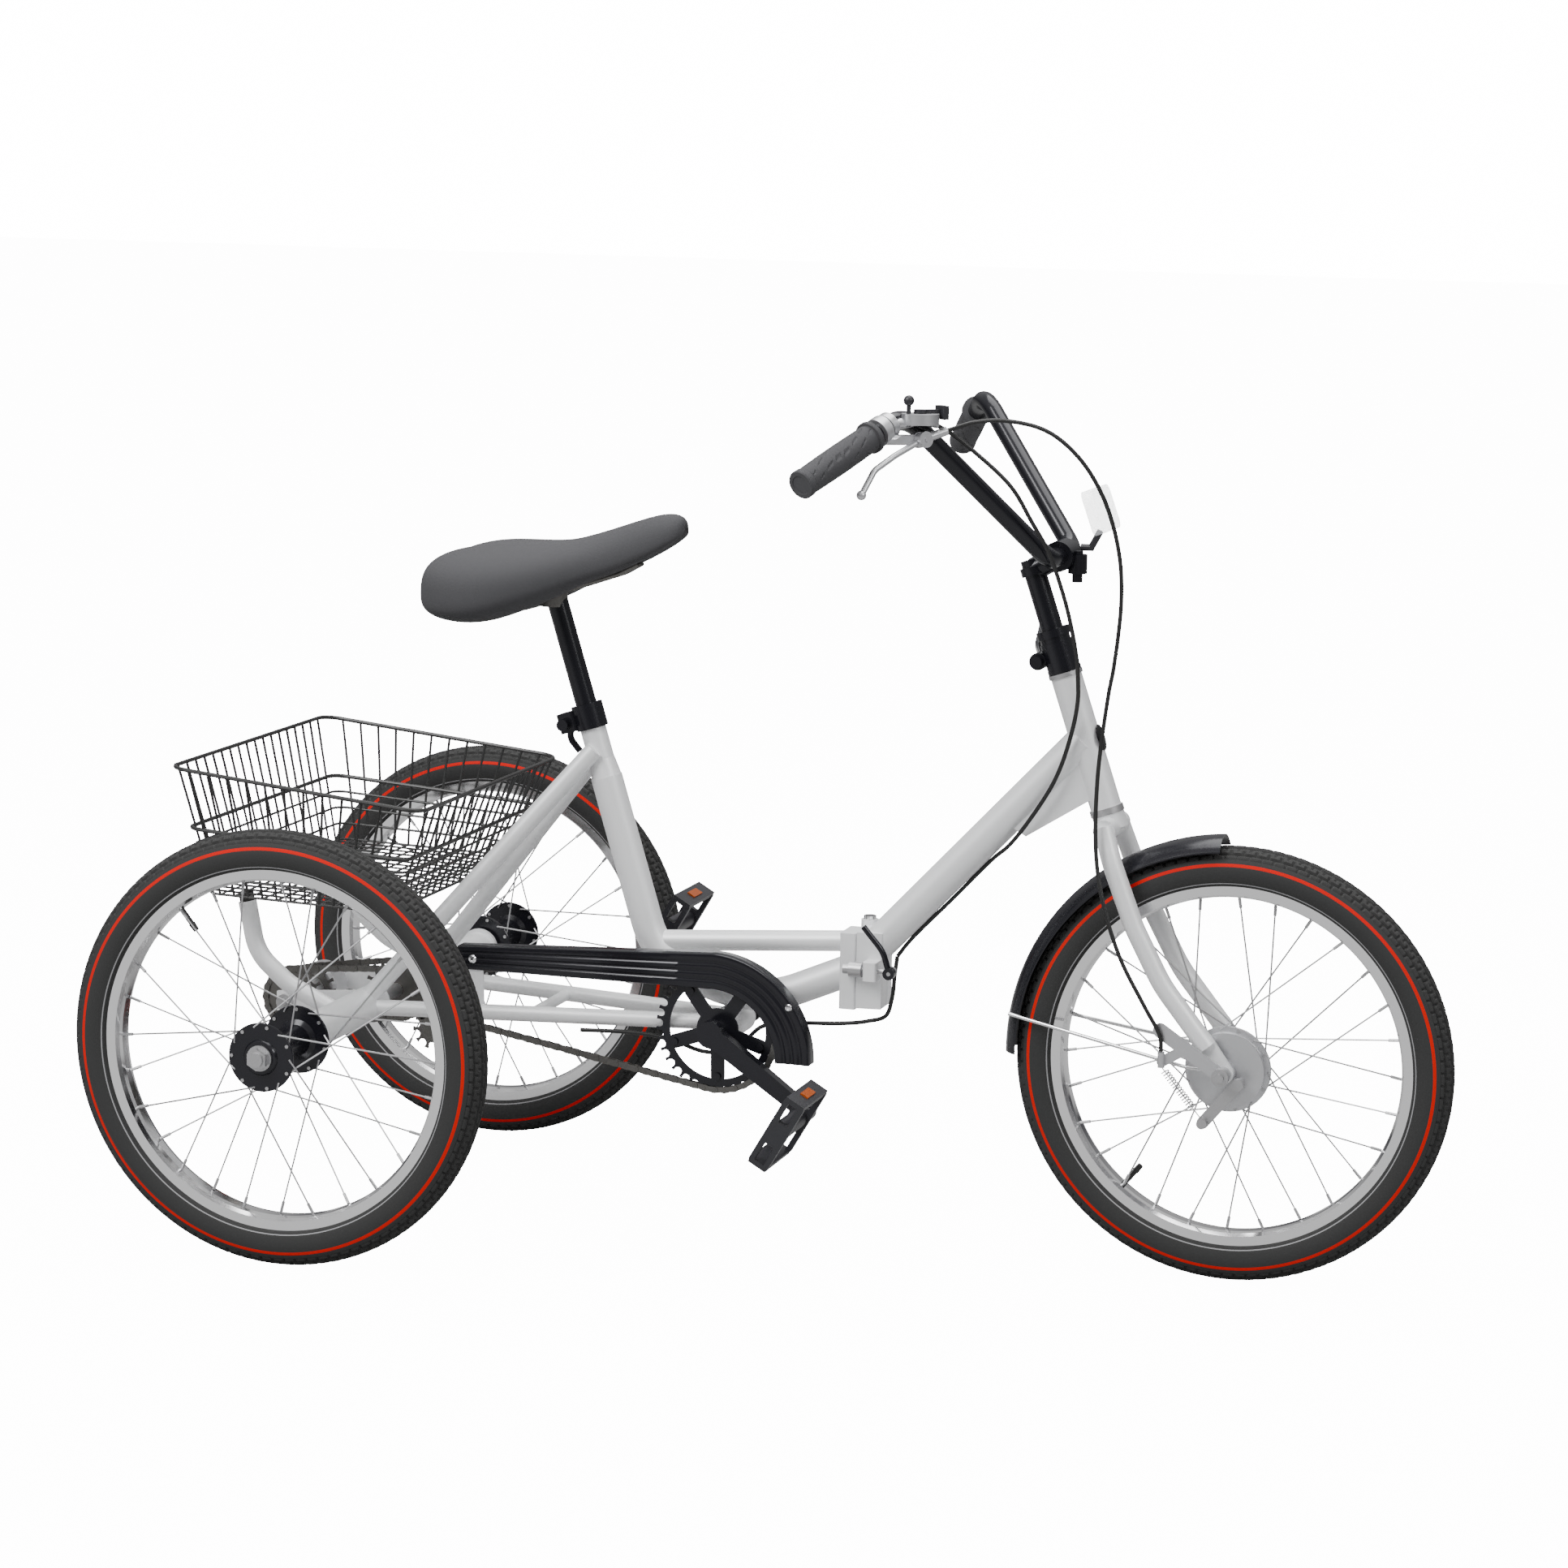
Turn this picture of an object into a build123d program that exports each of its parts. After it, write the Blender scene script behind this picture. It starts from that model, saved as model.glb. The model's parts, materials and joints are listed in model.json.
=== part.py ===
"""A folding adult tricycle: 20 inch wheels, live rear axle behind a two-chain drive, wire basket.

Millimetres. Origin on the floor, midway between the axles. +X forward, +Y left, +Z up.
"""
import math
import os

from build123d import *

os.makedirs("parts", exist_ok=True)

# ---- driving dimensions -------------------------------------------------------------------------
WHEELBASE = 1042.0
TRACK = 676.0
WHEEL_R = 255.0
TYRE_R = 27.0
TYRE_WALL = 3.2
RIM_EDGE_R = 211.0
RIM_HALF = 17.8
SPOKES = 28
SPOKE_R = 1.0

AXLE_R = 8.5
AXLE_TUBE_R = 21.0
AXLE_TUBE_IN = 64.0
AXLE_TUBE_OUT = 281.0
BEARING_W = 12.0
RUN = 0.05

REAR_FLANGE_R = 40.0
REAR_FLANGE_Y = 49.5
HUB_BOSS = 4.5
FRONT_FLANGE_R = 50.0
DRUM_R = 44.0

SEAT_LEAN = 17.3
SEAT_TOP = (-268.0, 602.0)
SEAT_TUBE_R = 19.0
SEAT_NECK_R = 15.6
SEAT_POST_R = 12.7
SEAT_BORE = 290.0

BB = (-87.5, 253.0)
BB_SHELL_R = 20.0
BB_HALF = 34.0
CRANK_L = 145.0
CRANK_ANGLE = 35.0
CRANK_Y = 73.0
CHAIN_Y = -48.0
PEDAL_LEAN = 30.0

HUB = (-634.0, 246.0)
AXLE_CHAIN_Y = 6.0
PITCH = 12.7
ROLLER_R = 3.9
RING_TEETH = 36
INPUT_TEETH = 18
OUTPUT_TEETH = 14
AXLE_TEETH = 18
IDLER_TEETH = 10
IDLER = (-452.0, 222.0)

PIN = (74.5, 30.0)
PIN_R = 5.0
KNUCKLE_R = 10.5
HINGE_GAP = 0.5
HINGE_Z = (286.0, 377.0)

HEAD_LEAN = 19.0
HEAD_LOW = (363.9, 540.0)
HEAD_TUBE_L = 158.0
HEAD_TUBE_R = 18.2
STEERER_R = 14.3
STEERER_BORE = 12.8
STEM_R = 12.75
MAIN_TUBE_R = 20.5

BAR_R = 11.1
GRIP_R = 16.5
GRIP_L = 128.0

REAR_X = -WHEELBASE / 2
FRONT_X = WHEELBASE / 2


def save(piece, name):
    piece.label = name
    export_step(piece, f"parts/{name}.step")


def unit(v):
    return Vector(*v).normalized()


def path_of(points, bends):
    """Straight runs joined by tangent arcs."""
    with BuildLine() as path:
        if len(points) == 2:
            Line(*points)
        else:
            FilletPolyline(*points, radius=bends)
    return path.line


def tube(points, bends, radius, bore=0.0):
    """A round tube along straight runs and arcs."""
    line = path_of(points, bends)
    with BuildPart() as piece:
        with BuildSketch(Plane(line @ 0, z_dir=line % 0)):
            Circle(radius)
            if bore:
                Circle(bore, mode=Mode.SUBTRACT)
        sweep(path=line)
    return piece.part


def rod(start, end, radius, bore=0.0, end_radius=None):
    """A straight round bar, or a cone, between two points."""
    start, end = Vector(*start), Vector(*end)
    base = Plane(start, z_dir=end - start)
    length = (end - start).length
    with BuildPart() as piece:
        with BuildSketch(base):
            Circle(radius)
        if end_radius is None:
            extrude(amount=length)
        else:
            with BuildSketch(base.offset(length)):
                Circle(end_radius)
            loft()
        if bore:
            with BuildSketch(base.offset(-1)):
                Circle(bore)
            extrude(amount=length + 2, mode=Mode.SUBTRACT)
    return piece.part


def turned(centre, outline):
    """A solid of revolution about the cross axle: the outline is in (radius, distance along +Y)."""
    plane = Plane(origin=centre, x_dir=(1, 0, 0), z_dir=(0, 0, 1))
    with BuildPart() as piece:
        with BuildSketch(plane):
            with BuildLine():
                Polyline(*outline, close=True)
            make_face()
        revolve(axis=Axis(centre, (0, 1, 0)))
    return piece.part


def ring(centre, inner, outer, low, high):
    return turned(centre, [(inner, low), (outer, low), (outer, high), (inner, high)])


def plate_xz(points, y_low, y_high):
    """A flat plate with its outline in (x, z), between two values of Y."""
    with BuildPart() as piece:
        with BuildSketch(Plane.XZ.offset(-y_high)):
            with BuildLine():
                Polyline(*points, close=True)
            make_face()
        extrude(amount=y_high - y_low)
    return piece.part


def bar_xz(start, end, half, y_low, y_high):
    """A round-ended flat bar between two (x, z) points."""
    span = Vector(end[0] - start[0], end[1] - start[1])
    middle = ((start[0] + end[0]) / 2, (start[1] + end[1]) / 2)
    turn = math.degrees(math.atan2(span.Y, span.X))
    with BuildPart() as piece:
        with BuildSketch(Plane.XZ.offset(-y_high)):
            with Locations(Location((middle[0], middle[1], 0), (0, 0, turn))):
                SlotCenterToCenter(span.length, 2 * half)
        extrude(amount=y_high - y_low)
    return piece.part


def join(*pieces):
    with BuildPart() as whole:
        for piece in pieces:
            add(piece)
    return whole.part


def cut(piece, *tools):
    with BuildPart() as whole:
        add(piece)
        for tool in tools:
            add(tool, mode=Mode.SUBTRACT)
    return whole.part


def group(*pieces):
    """Separate solids kept in one node."""
    return Compound(children=[solid for piece in pieces for solid in piece.solids()])


# ---- axes that several pieces share -------------------------------------------------------------
def seat_point(along):
    """A point on the seat tube's axis, measured upwards from the tube's mouth."""
    lean = math.radians(SEAT_LEAN)
    return (SEAT_TOP[0] - along * math.sin(lean), 0.0, SEAT_TOP[1] + along * math.cos(lean))


def head_point(along, side=0.0, ahead=0.0):
    """A point near the steering axis: along it from the lower race, then left, then square ahead."""
    lean = math.radians(HEAD_LEAN)
    x = HEAD_LOW[0] - along * math.sin(lean) + ahead * math.cos(lean)
    z = HEAD_LOW[1] + along * math.cos(lean) + ahead * math.sin(lean)
    return (x, side, z)


HEAD_UP = Vector(*head_point(1)) - Vector(*head_point(0))
SEAT_UP = Vector(*seat_point(1)) - Vector(*seat_point(0))


# ---- wheels -------------------------------------------------------------------------------------
def tyre(x, y):
    centre = (x, y, WHEEL_R)
    plane = Plane(origin=centre, x_dir=(1, 0, 0), z_dir=(0, 0, 1))
    middle = WHEEL_R - TYRE_R
    with BuildPart() as piece:
        with BuildSketch(plane):
            with Locations((middle, 0)):
                Circle(TYRE_R)
                Circle(TYRE_R - TYRE_WALL, mode=Mode.SUBTRACT)
            with Locations((RIM_EDGE_R + 0.2 - TYRE_R, 0)):
                Rectangle(2 * TYRE_R, 3 * TYRE_R, mode=Mode.SUBTRACT)
        revolve(axis=Axis(centre, (0, 1, 0)))
    return piece.part


def rim(x, y):
    half = RIM_HALF
    edge = RIM_EDGE_R
    outline = [(edge, half), (edge, half - 2.2), (edge - 8, half - 2.6), (edge - 10, half - 6),
               (edge - 12, 6), (edge - 12, -6), (edge - 10, -half + 6), (edge - 8, -half + 2.6),
               (edge, -half + 2.2), (edge, -half), (edge - 11, -half + 1), (edge - 14, -half + 6),
               (edge - 15, -6), (edge - 15, 6), (edge - 14, half - 6), (edge - 11, half - 1)]
    return turned((x, y, WHEEL_R), outline)


RIM_INNER_R = RIM_EDGE_R - 15.3


def spokes(x, y, flanges):
    """Crossed spokes: flanges lists (radius of the hole circle, distance of the flange along +Y)."""
    pieces = []
    step = 720.0 / SPOKES
    for side, (hole_r, flange_y) in enumerate(flanges):
        for n in range(SPOKES // 2):
            way = 1 if n % 2 else -1
            at = math.radians(n * step + side * step / 2)
            to = at + way * math.radians(2 * step)
            start = (x + hole_r * math.cos(at), y + flange_y + 3.0 * way, WHEEL_R + hole_r * math.sin(at))
            end = (x + RIM_INNER_R * math.cos(to), y + math.copysign(3.2, flange_y),
                   WHEEL_R + RIM_INNER_R * math.sin(to))
            reach = Vector(*end) - Vector(*start)
            pieces.append(rod(start, Vector(*start) + reach * 0.992, SPOKE_R))
    return pieces


def rear_hub(x, y, bore):
    """Wide hub: two thick flanges on a barrel, a boss outside each."""
    flange, out = REAR_FLANGE_Y, REAR_FLANGE_Y + HUB_BOSS
    right = [(REAR_FLANGE_R, -flange - 1.5), (REAR_FLANGE_R, -flange + 1.5), (18, -flange + 6)]
    left = [(18, flange - 6), (REAR_FLANGE_R, flange - 1.5), (REAR_FLANGE_R, flange + 1.5)]
    outline = [(bore, -out), (19, -out), (20, -flange - 1.6)] + right + left + [
        (20, flange + 1.6), (19, out), (bore, out)]
    hub = turned((x, y, WHEEL_R), outline)
    holes = []
    for side in (-1, 1):
        for n in range(3):
            a = math.radians(35 + 120 * n)
            c = (x + 30 * math.cos(a), y + side * flange, WHEEL_R + 30 * math.sin(a))
            holes.append(rod((c[0], c[1] - 3, c[2]), (c[0], c[1] + 3, c[2]), 4.5))
    return group(cut(hub, *holes), *spokes(x, y, [(36.0, -flange), (36.0, flange)]))


def front_hub(x, y, bore):
    """Drum hub: the brake drum on the right, a small flange on the left."""
    outline = [(bore, -34), (12, -34), (12, -20), (DRUM_R - 4, -20), (DRUM_R - 4, -34.5), (DRUM_R, -34.5),
               (DRUM_R, -29), (FRONT_FLANGE_R, -28), (FRONT_FLANGE_R, -24.5), (DRUM_R, -23),
               (DRUM_R - 2, -12), (20, -4), (16, 26), (32, 28), (32, 31), (16, 34), (13, 42), (bore, 42)]
    hub = turned((x, y, WHEEL_R), outline)
    return group(hub, *spokes(x, y, [(46.5, -26.2), (28.5, 29.5)]))


for name, x, y in (("right", REAR_X, -TRACK / 2), ("left", REAR_X, TRACK / 2), ("front", FRONT_X, 0.0)):
    save(tyre(x, y), f"{name}_tyre")
    save(rim(x, y), f"{name}_rim")

save(rear_hub(REAR_X, -TRACK / 2, AXLE_R + 0.02), "right_hub")
save(rear_hub(REAR_X, TRACK / 2, AXLE_R + RUN), "left_hub")
FRONT_AXLE_R = 5.0
save(front_hub(FRONT_X, 0.0, FRONT_AXLE_R + RUN), "front_hub")

# ---- rear axle ----------------------------------------------------------------------------------
AXLE_END = 405.0
axle = rod((REAR_X, -AXLE_END, WHEEL_R), (REAR_X, AXLE_END, WHEEL_R), AXLE_R)
hub_outer = TRACK / 2 + REAR_FLANGE_Y + HUB_BOSS
nuts = []
for side in (-1, 1):
    with BuildPart() as nut:
        with BuildSketch(Plane(origin=(REAR_X, side * (hub_outer + 0.3), WHEEL_R), z_dir=(0, side, 0))):
            Circle(15)
            Circle(AXLE_R + 0.03, mode=Mode.SUBTRACT)
        extrude(amount=2)
        with BuildSketch(Plane(origin=(REAR_X, side * (hub_outer + 2.3), WHEEL_R), z_dir=(0, side, 0))):
            RegularPolygon(13, 6)
            Circle(AXLE_R + 0.03, mode=Mode.SUBTRACT)
        extrude(amount=8)
    nuts.append(nut.part)
save(group(axle, *nuts), "rear_axle")


# ---- sprockets and chains -----------------------------------------------------------------------
def pitch_radius(teeth):
    return PITCH / 2 / math.sin(math.pi / teeth)


def sprocket(centre, teeth, y, half, bore, phase):
    """Toothed disc across the axle; phase is the direction, in degrees, of one roller seat."""
    r = pitch_radius(teeth)
    seat = ROLLER_R + 0.85
    with BuildPart() as piece:
        with BuildSketch(Plane.XZ.offset(-(y + half))):
            with Locations((centre[0], centre[1])):
                Circle(r + 3.4)
                with PolarLocations(r, teeth, start_angle=phase):
                    Circle(seat, mode=Mode.SUBTRACT)
                with PolarLocations(r + 3.2, teeth, start_angle=phase):
                    Rectangle(6.6, 2 * seat, mode=Mode.SUBTRACT)
                if bore:
                    Circle(bore, mode=Mode.SUBTRACT)
        extrude(amount=2 * half)
    return piece.part


def wrap(stations):
    """Chain line round stations (x, z, radius, way): way 1 turns left over its outside, -1 turns right.

    Gives the tangent points of every straight run, in the order of the stations.
    """
    runs = []
    for n, (ax, az, ar, aw) in enumerate(stations):
        bx, bz, br, bw = stations[(n + 1) % len(stations)]
        dx, dz = bx - ax, bz - az
        gap = math.hypot(dx, dz)
        heading = math.atan2(dz, dx)
        lean = math.asin((bw * br - aw * ar) / gap)
        normal = heading - math.pi / 2 - lean
        runs.append(((ax + aw * ar * math.cos(normal), az + aw * ar * math.sin(normal)),
                     (bx + bw * br * math.cos(normal), bz + bw * br * math.sin(normal))))
    return runs


def chain_points(stations, links):
    """Even roller places round the whole chain line."""
    runs = wrap(stations)
    pieces = []
    for n, (start, end) in enumerate(runs):
        pieces.append(("line", start, end, math.dist(start, end)))
        cx, cz, r, way = stations[(n + 1) % len(stations)]
        leave = runs[(n + 1) % len(runs)][0]
        a = math.atan2(end[1] - cz, end[0] - cx)
        b = math.atan2(leave[1] - cz, leave[0] - cx)
        sweep_angle = (b - a) * way % (2 * math.pi)
        pieces.append(("arc", (cx, cz, r, way, a), None, r * sweep_angle))
    total = sum(p[3] for p in pieces)
    count = links or round(total / PITCH)
    places = []
    for n in range(count):
        s = total * n / count
        for kind, first, second, length in pieces:
            if s < length:
                break
            s -= length
        if kind == "line":
            t = s / length
            places.append((first[0] + t * (second[0] - first[0]), first[1] + t * (second[1] - first[1])))
        else:
            cx, cz, r, way, a = first
            turn = a + way * s / r
            places.append((cx + r * math.cos(turn), cz + r * math.sin(turn)))
    return places, total


def chain(places, y):
    """Rollers held between two side plates that follow the chain line."""
    count = len(places)
    outline = []
    for side in (1, -1):
        edge = []
        for n, (x, z) in enumerate(places):
            px, pz = places[n - 1]
            qx, qz = places[(n + 1) % count]
            d = math.hypot(qx - px, qz - pz)
            nx, nz = -(qz - pz) / d, (qx - px) / d
            edge.append((x + side * 4.2 * nx, z + side * 4.2 * nz))
        outline.append(edge)
    area = [abs(sum(a[0] * b[1] - b[0] * a[1] for a, b in zip(e, e[1:] + e[:1]))) for e in outline]
    outer, inner = (outline[0], outline[1]) if area[0] > area[1] else (outline[1], outline[0])
    with BuildPart() as piece:
        for low in (-3.3, 2.3):
            with BuildSketch(Plane.XZ.offset(-(y + low + 1.0))):
                with BuildLine():
                    Polyline(*outer, close=True)
                make_face()
                with BuildLine():
                    Polyline(*inner, close=True)
                make_face(mode=Mode.SUBTRACT)
            extrude(amount=1.0)
        with BuildSketch(Plane.XZ.offset(-(y + 2.5))):
            with Locations(*places):
                Circle(ROLLER_R - 1.15)
        extrude(amount=5.0)
    return piece.part


RING_R = pitch_radius(RING_TEETH)
HUB_IN_R = pitch_radius(INPUT_TEETH)
HUB_OUT_R = pitch_radius(OUTPUT_TEETH)
AXLE_SPROCKET_R = pitch_radius(AXLE_TEETH)
IDLER_R = pitch_radius(IDLER_TEETH)
AXLE = (REAR_X, WHEEL_R)

# seen from the right: away under the hub, over the idler, forwards round the ring, back on top
primary_stations = [(*HUB, HUB_IN_R, 1), (*IDLER, IDLER_R, -1), (*BB, RING_R, 1)]
secondary_stations = [(*HUB, HUB_OUT_R, 1), (*AXLE, AXLE_SPROCKET_R, 1)]
primary, primary_length = chain_points(primary_stations, None)
secondary, secondary_length = chain_points(secondary_stations, None)
print("primary chain", round(primary_length, 1), "mm,", len(primary), "links of",
      round(primary_length / len(primary), 3))
print("secondary chain", round(secondary_length, 1), "mm,", len(secondary), "links of",
      round(secondary_length / len(secondary), 3))


def seat_direction(places, centre, radius):
    """Direction of the wrapped roller nearest the middle of the wrap."""
    near = [(math.atan2(z - centre[1], x - centre[0])) for x, z in places
            if abs(math.dist((x, z), centre) - radius) < 0.05]
    mean = math.atan2(sum(math.sin(a) for a in near), sum(math.cos(a) for a in near))
    best = min(near, key=lambda a: abs(math.remainder(a - mean, 2 * math.pi)))
    return math.degrees(best)


save(chain(primary, CHAIN_Y), "primary_chain")
save(chain(secondary, AXLE_CHAIN_Y), "secondary_chain")

SPINDLE_R = 8.0
ring_phase = seat_direction(primary, BB, RING_R)
ring_disc = sprocket(BB, RING_TEETH, CHAIN_Y, 1.2, RING_R - 13, ring_phase)
bolt_circle = 56.0
lugs = []
for n in range(5):
    a = math.radians(72 * n + 90 - CRANK_ANGLE)
    hub_at = (BB[0] + 17 * math.cos(a), BB[1] + 17 * math.sin(a))
    tip_at = (BB[0] + bolt_circle * math.cos(a), BB[1] + bolt_circle * math.sin(a))
    lugs.append(bar_xz(hub_at, tip_at, 8.5, CHAIN_Y - 1.2, CHAIN_Y + 1.2))
spider = join(*lugs, ring((BB[0], 0, BB[1]), SPINDLE_R + 0.05, 26, CHAIN_Y - 1.2, CHAIN_Y + 1.2))
bolts = [rod((BB[0] + bolt_circle * math.cos(math.radians(72 * n + 90 - CRANK_ANGLE)), CHAIN_Y - 4,
              BB[1] + bolt_circle * math.sin(math.radians(72 * n + 90 - CRANK_ANGLE))),
             (BB[0] + bolt_circle * math.cos(math.radians(72 * n + 90 - CRANK_ANGLE)), CHAIN_Y,
              BB[1] + bolt_circle * math.sin(math.radians(72 * n + 90 - CRANK_ANGLE))), 4.2) for n in range(5)]
spindle_hole = rod((BB[0], CHAIN_Y - 3, BB[1]), (BB[0], CHAIN_Y + 3, BB[1]), SPINDLE_R + 0.05)
save(cut(join(ring_disc, spider, *bolts), spindle_hole), "chainring")

save(sprocket(AXLE, AXLE_TEETH, AXLE_CHAIN_Y, 1.2, AXLE_R + 0.02,
              seat_direction(secondary, AXLE, AXLE_SPROCKET_R)), "axle_sprocket")
HUB_BARREL_R = 17.0
input_sprocket = sprocket(HUB, INPUT_TEETH, CHAIN_Y, 1.2, HUB_BARREL_R + 0.05,
                          seat_direction(primary, HUB, HUB_IN_R))
output_sprocket = sprocket(HUB, OUTPUT_TEETH, AXLE_CHAIN_Y, 1.2, HUB_BARREL_R + 0.05,
                           seat_direction(secondary, HUB, HUB_OUT_R))
save(group(input_sprocket, output_sprocket), "hub_sprockets")

HUB_AXLE_R = 5.0
save(turned((HUB[0], 0, HUB[1]),
            [(HUB_AXLE_R + RUN, -56), (HUB_BARREL_R - 3, -56), (HUB_BARREL_R, -53), (HUB_BARREL_R, 8),
             (26, 11), (29, 16), (29, 48), (24, 54), (14, 58), (HUB_AXLE_R + RUN, 58)]), "gear_hub")
HANGER_IN, HANGER_OUT = 66.0, 71.0
hub_axle = [rod((HUB[0], -86, HUB[1]), (HUB[0], 86, HUB[1]), HUB_AXLE_R)]
for side in (-1, 1):
    hub_axle.append(ring((HUB[0], 0, HUB[1]), HUB_AXLE_R + 0.03, 10, *sorted((side * (HANGER_OUT + 0.1), side * 78))))
    hub_axle.append(ring((HUB[0], 0, HUB[1]), HUB_AXLE_R + 0.03, 11, *sorted((side * (HANGER_IN - 0.1), side * 60))))
save(group(*hub_axle), "hub_axle")

IDLER_PIN_R = 3.0
save(sprocket(IDLER, IDLER_TEETH, CHAIN_Y, 1.2, IDLER_PIN_R + RUN,
              seat_direction(primary, IDLER, IDLER_R)), "idler_pulley")

# ---- cranks and pedals --------------------------------------------------------------------------
save(cut(rod((BB[0], -67, BB[1]), (BB[0], 80, BB[1]), SPINDLE_R)), "crank_spindle")
PEDAL_IN, PEDAL_OUT = 96.0, 190.0


def crank_end(side):
    turn = math.radians(-CRANK_ANGLE + (0 if side < 0 else 180))
    return (BB[0] + CRANK_L * math.cos(turn), BB[1] + CRANK_L * math.sin(turn))


def crank(side):
    """A tapered arm pressed on the spindle, with the pedal's spindle screwed into its end."""
    end = crank_end(side)
    low, high = (-CRANK_Y - 7, -CRANK_Y + 7) if side < 0 else (CRANK_Y - 7, CRANK_Y + 7)
    inner = (min(low, high) + 2, max(low, high) - 2)
    with BuildPart() as arm:
        with BuildSketch(Plane.XZ.offset(-high)):
            with BuildLine():
                dx, dz = end[0] - BB[0], end[1] - BB[1]
                nx, nz = -dz / CRANK_L, dx / CRANK_L
                Polyline((BB[0] + 12 * nx, BB[1] + 12 * nz), (end[0] + 9 * nx, end[1] + 9 * nz),
                         (end[0] - 9 * nx, end[1] - 9 * nz), (BB[0] - 12 * nx, BB[1] - 12 * nz), close=True)
            make_face()
            with Locations((BB[0], BB[1])):
                Circle(16)
            with Locations(end):
                Circle(11)
        extrude(amount=high - low)
    bore_y = (-67.05, low - 1) if side < 0 else (low - 1, 80.05)
    hole = rod((BB[0], max(-67.05, low - 1) if side > 0 else -67.05, BB[1]),
               (BB[0], 80.05 if side > 0 else high + 1, BB[1]), SPINDLE_R + 0.03)
    spindle_start, spindle_end = (side * (CRANK_Y + 7.2), side * (PEDAL_OUT - 8))
    spindle = rod((end[0], spindle_start, end[1]), (end[0], spindle_end, end[1]), 5.5)
    return group(cut(arm.part, hole), spindle)


def pedal(side):
    """A cage pedal hanging from its spindle: two end plates, two treads and a centre barrel."""
    end = crank_end(side)
    low, high = sorted((side * PEDAL_IN, side * PEDAL_OUT))
    lean = math.radians(PEDAL_LEAN)
    along = Vector(-math.sin(lean), 0, -math.cos(lean))
    base = Plane(origin=(end[0], high, end[1]), x_dir=along, z_dir=(0, -1, 0))
    with BuildPart() as body:
        with BuildSketch(base):
            RectangleRounded(92, 26, 6)
            with Locations((-28, 0), (28, 0)):
                RectangleRounded(26, 13, 3, mode=Mode.SUBTRACT)
        extrude(amount=8)
        with BuildSketch(base.offset(high - low - 8)):
            RectangleRounded(92, 26, 6)
            with Locations((-28, 0), (28, 0)):
                RectangleRounded(26, 13, 3, mode=Mode.SUBTRACT)
        extrude(amount=8)
        with BuildSketch(base):
            with Locations((-43, 0), (43, 0)):
                Rectangle(6, 24)
            Circle(11)
        extrude(amount=high - low)
    hole_low, hole_high = sorted((side * (PEDAL_IN - 1), side * (PEDAL_OUT - 7.9)))
    hole = rod((end[0], hole_low, end[1]), (end[0], hole_high, end[1]), 5.5 + RUN)
    return cut(body.part, hole)


save(crank(-1), "right_crank")
save(crank(1), "left_crank")
save(pedal(-1), "right_pedal")
save(pedal(1), "left_pedal")

# ---- rear half of the frame ---------------------------------------------------------------------
SEAT_KNEE = (-180.2, 0, 320.0)
LOW_KNEE = (-55.0, 0, 278.0)
HINGE_LOW = (HINGE_Z[0] + 42.0)
neck = -45.0
swage = -66.0
curved = tube([seat_point(swage), SEAT_KNEE, LOW_KNEE, (60.0, 0, HINGE_LOW)], [95.0, 150.0], SEAT_TUBE_R)
neck_piece = rod(seat_point(neck), seat_point(0), SEAT_NECK_R)
swage_piece = rod(seat_point(swage - 4), seat_point(neck + 0.5), SEAT_TUBE_R - 0.3, end_radius=SEAT_NECK_R + 0.3)
top_tube = tube([(-186.0, 0, 344.5), (60.0, 0, 363.0)], None, 12.5)
with BuildPart() as hinge_plate:
    with BuildSketch(Plane.XY.offset(HINGE_Z[0])):
        with Locations((PIN[0] - HINGE_GAP - 10, -3)):
            RectangleRounded(20, 46, 3)
    extrude(amount=HINGE_Z[1] - HINGE_Z[0])
knuckle_z = (HINGE_Z[0] + 22, HINGE_Z[1] - 22)
with BuildPart() as rear_knuckle:
    with BuildSketch(Plane.XY.offset(knuckle_z[0])):
        with Locations(PIN):
            Circle(KNUCKLE_R)
        with Locations((PIN[0] - 8, PIN[1] - 8)):
            Rectangle(14, 16)
    extrude(amount=knuckle_z[1] - knuckle_z[0])
shell = rod((BB[0], -BB_HALF, BB[1]), (BB[0], BB_HALF, BB[1]), BB_SHELL_R)
frame_bores = [
    rod(seat_point(1), seat_point(-SEAT_BORE), SEAT_POST_R + 0.15),
    rod((BB[0], -BB_HALF - 1, BB[1]), (BB[0], BB_HALF + 1, BB[1]), 17.2),
    rod((*PIN, HINGE_Z[0]), (*PIN, HINGE_Z[1]), PIN_R + RUN),
    rod((*PIN, HINGE_Z[0] - 1), (*PIN, knuckle_z[0]), KNUCKLE_R + 0.8),
    rod((*PIN, knuckle_z[1]), (*PIN, HINGE_Z[1] + 1), KNUCKLE_R + 0.8),
]
front_limit = PIN[0] - HINGE_GAP
ahead = Plane.YZ.offset(front_limit)
with BuildPart() as beyond_hinge:
    with BuildSketch(ahead):
        with Locations((-10, (HINGE_Z[0] + HINGE_Z[1]) / 2)):
            Rectangle(56, 120)
    extrude(amount=30)
rear_main = cut(join(curved, neck_piece, swage_piece, top_tube, hinge_plate.part, shell), beyond_hinge.part)
main_frame = cut(join(rear_main, rear_knuckle.part), *frame_bores)
save(main_frame, "main_frame")

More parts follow.
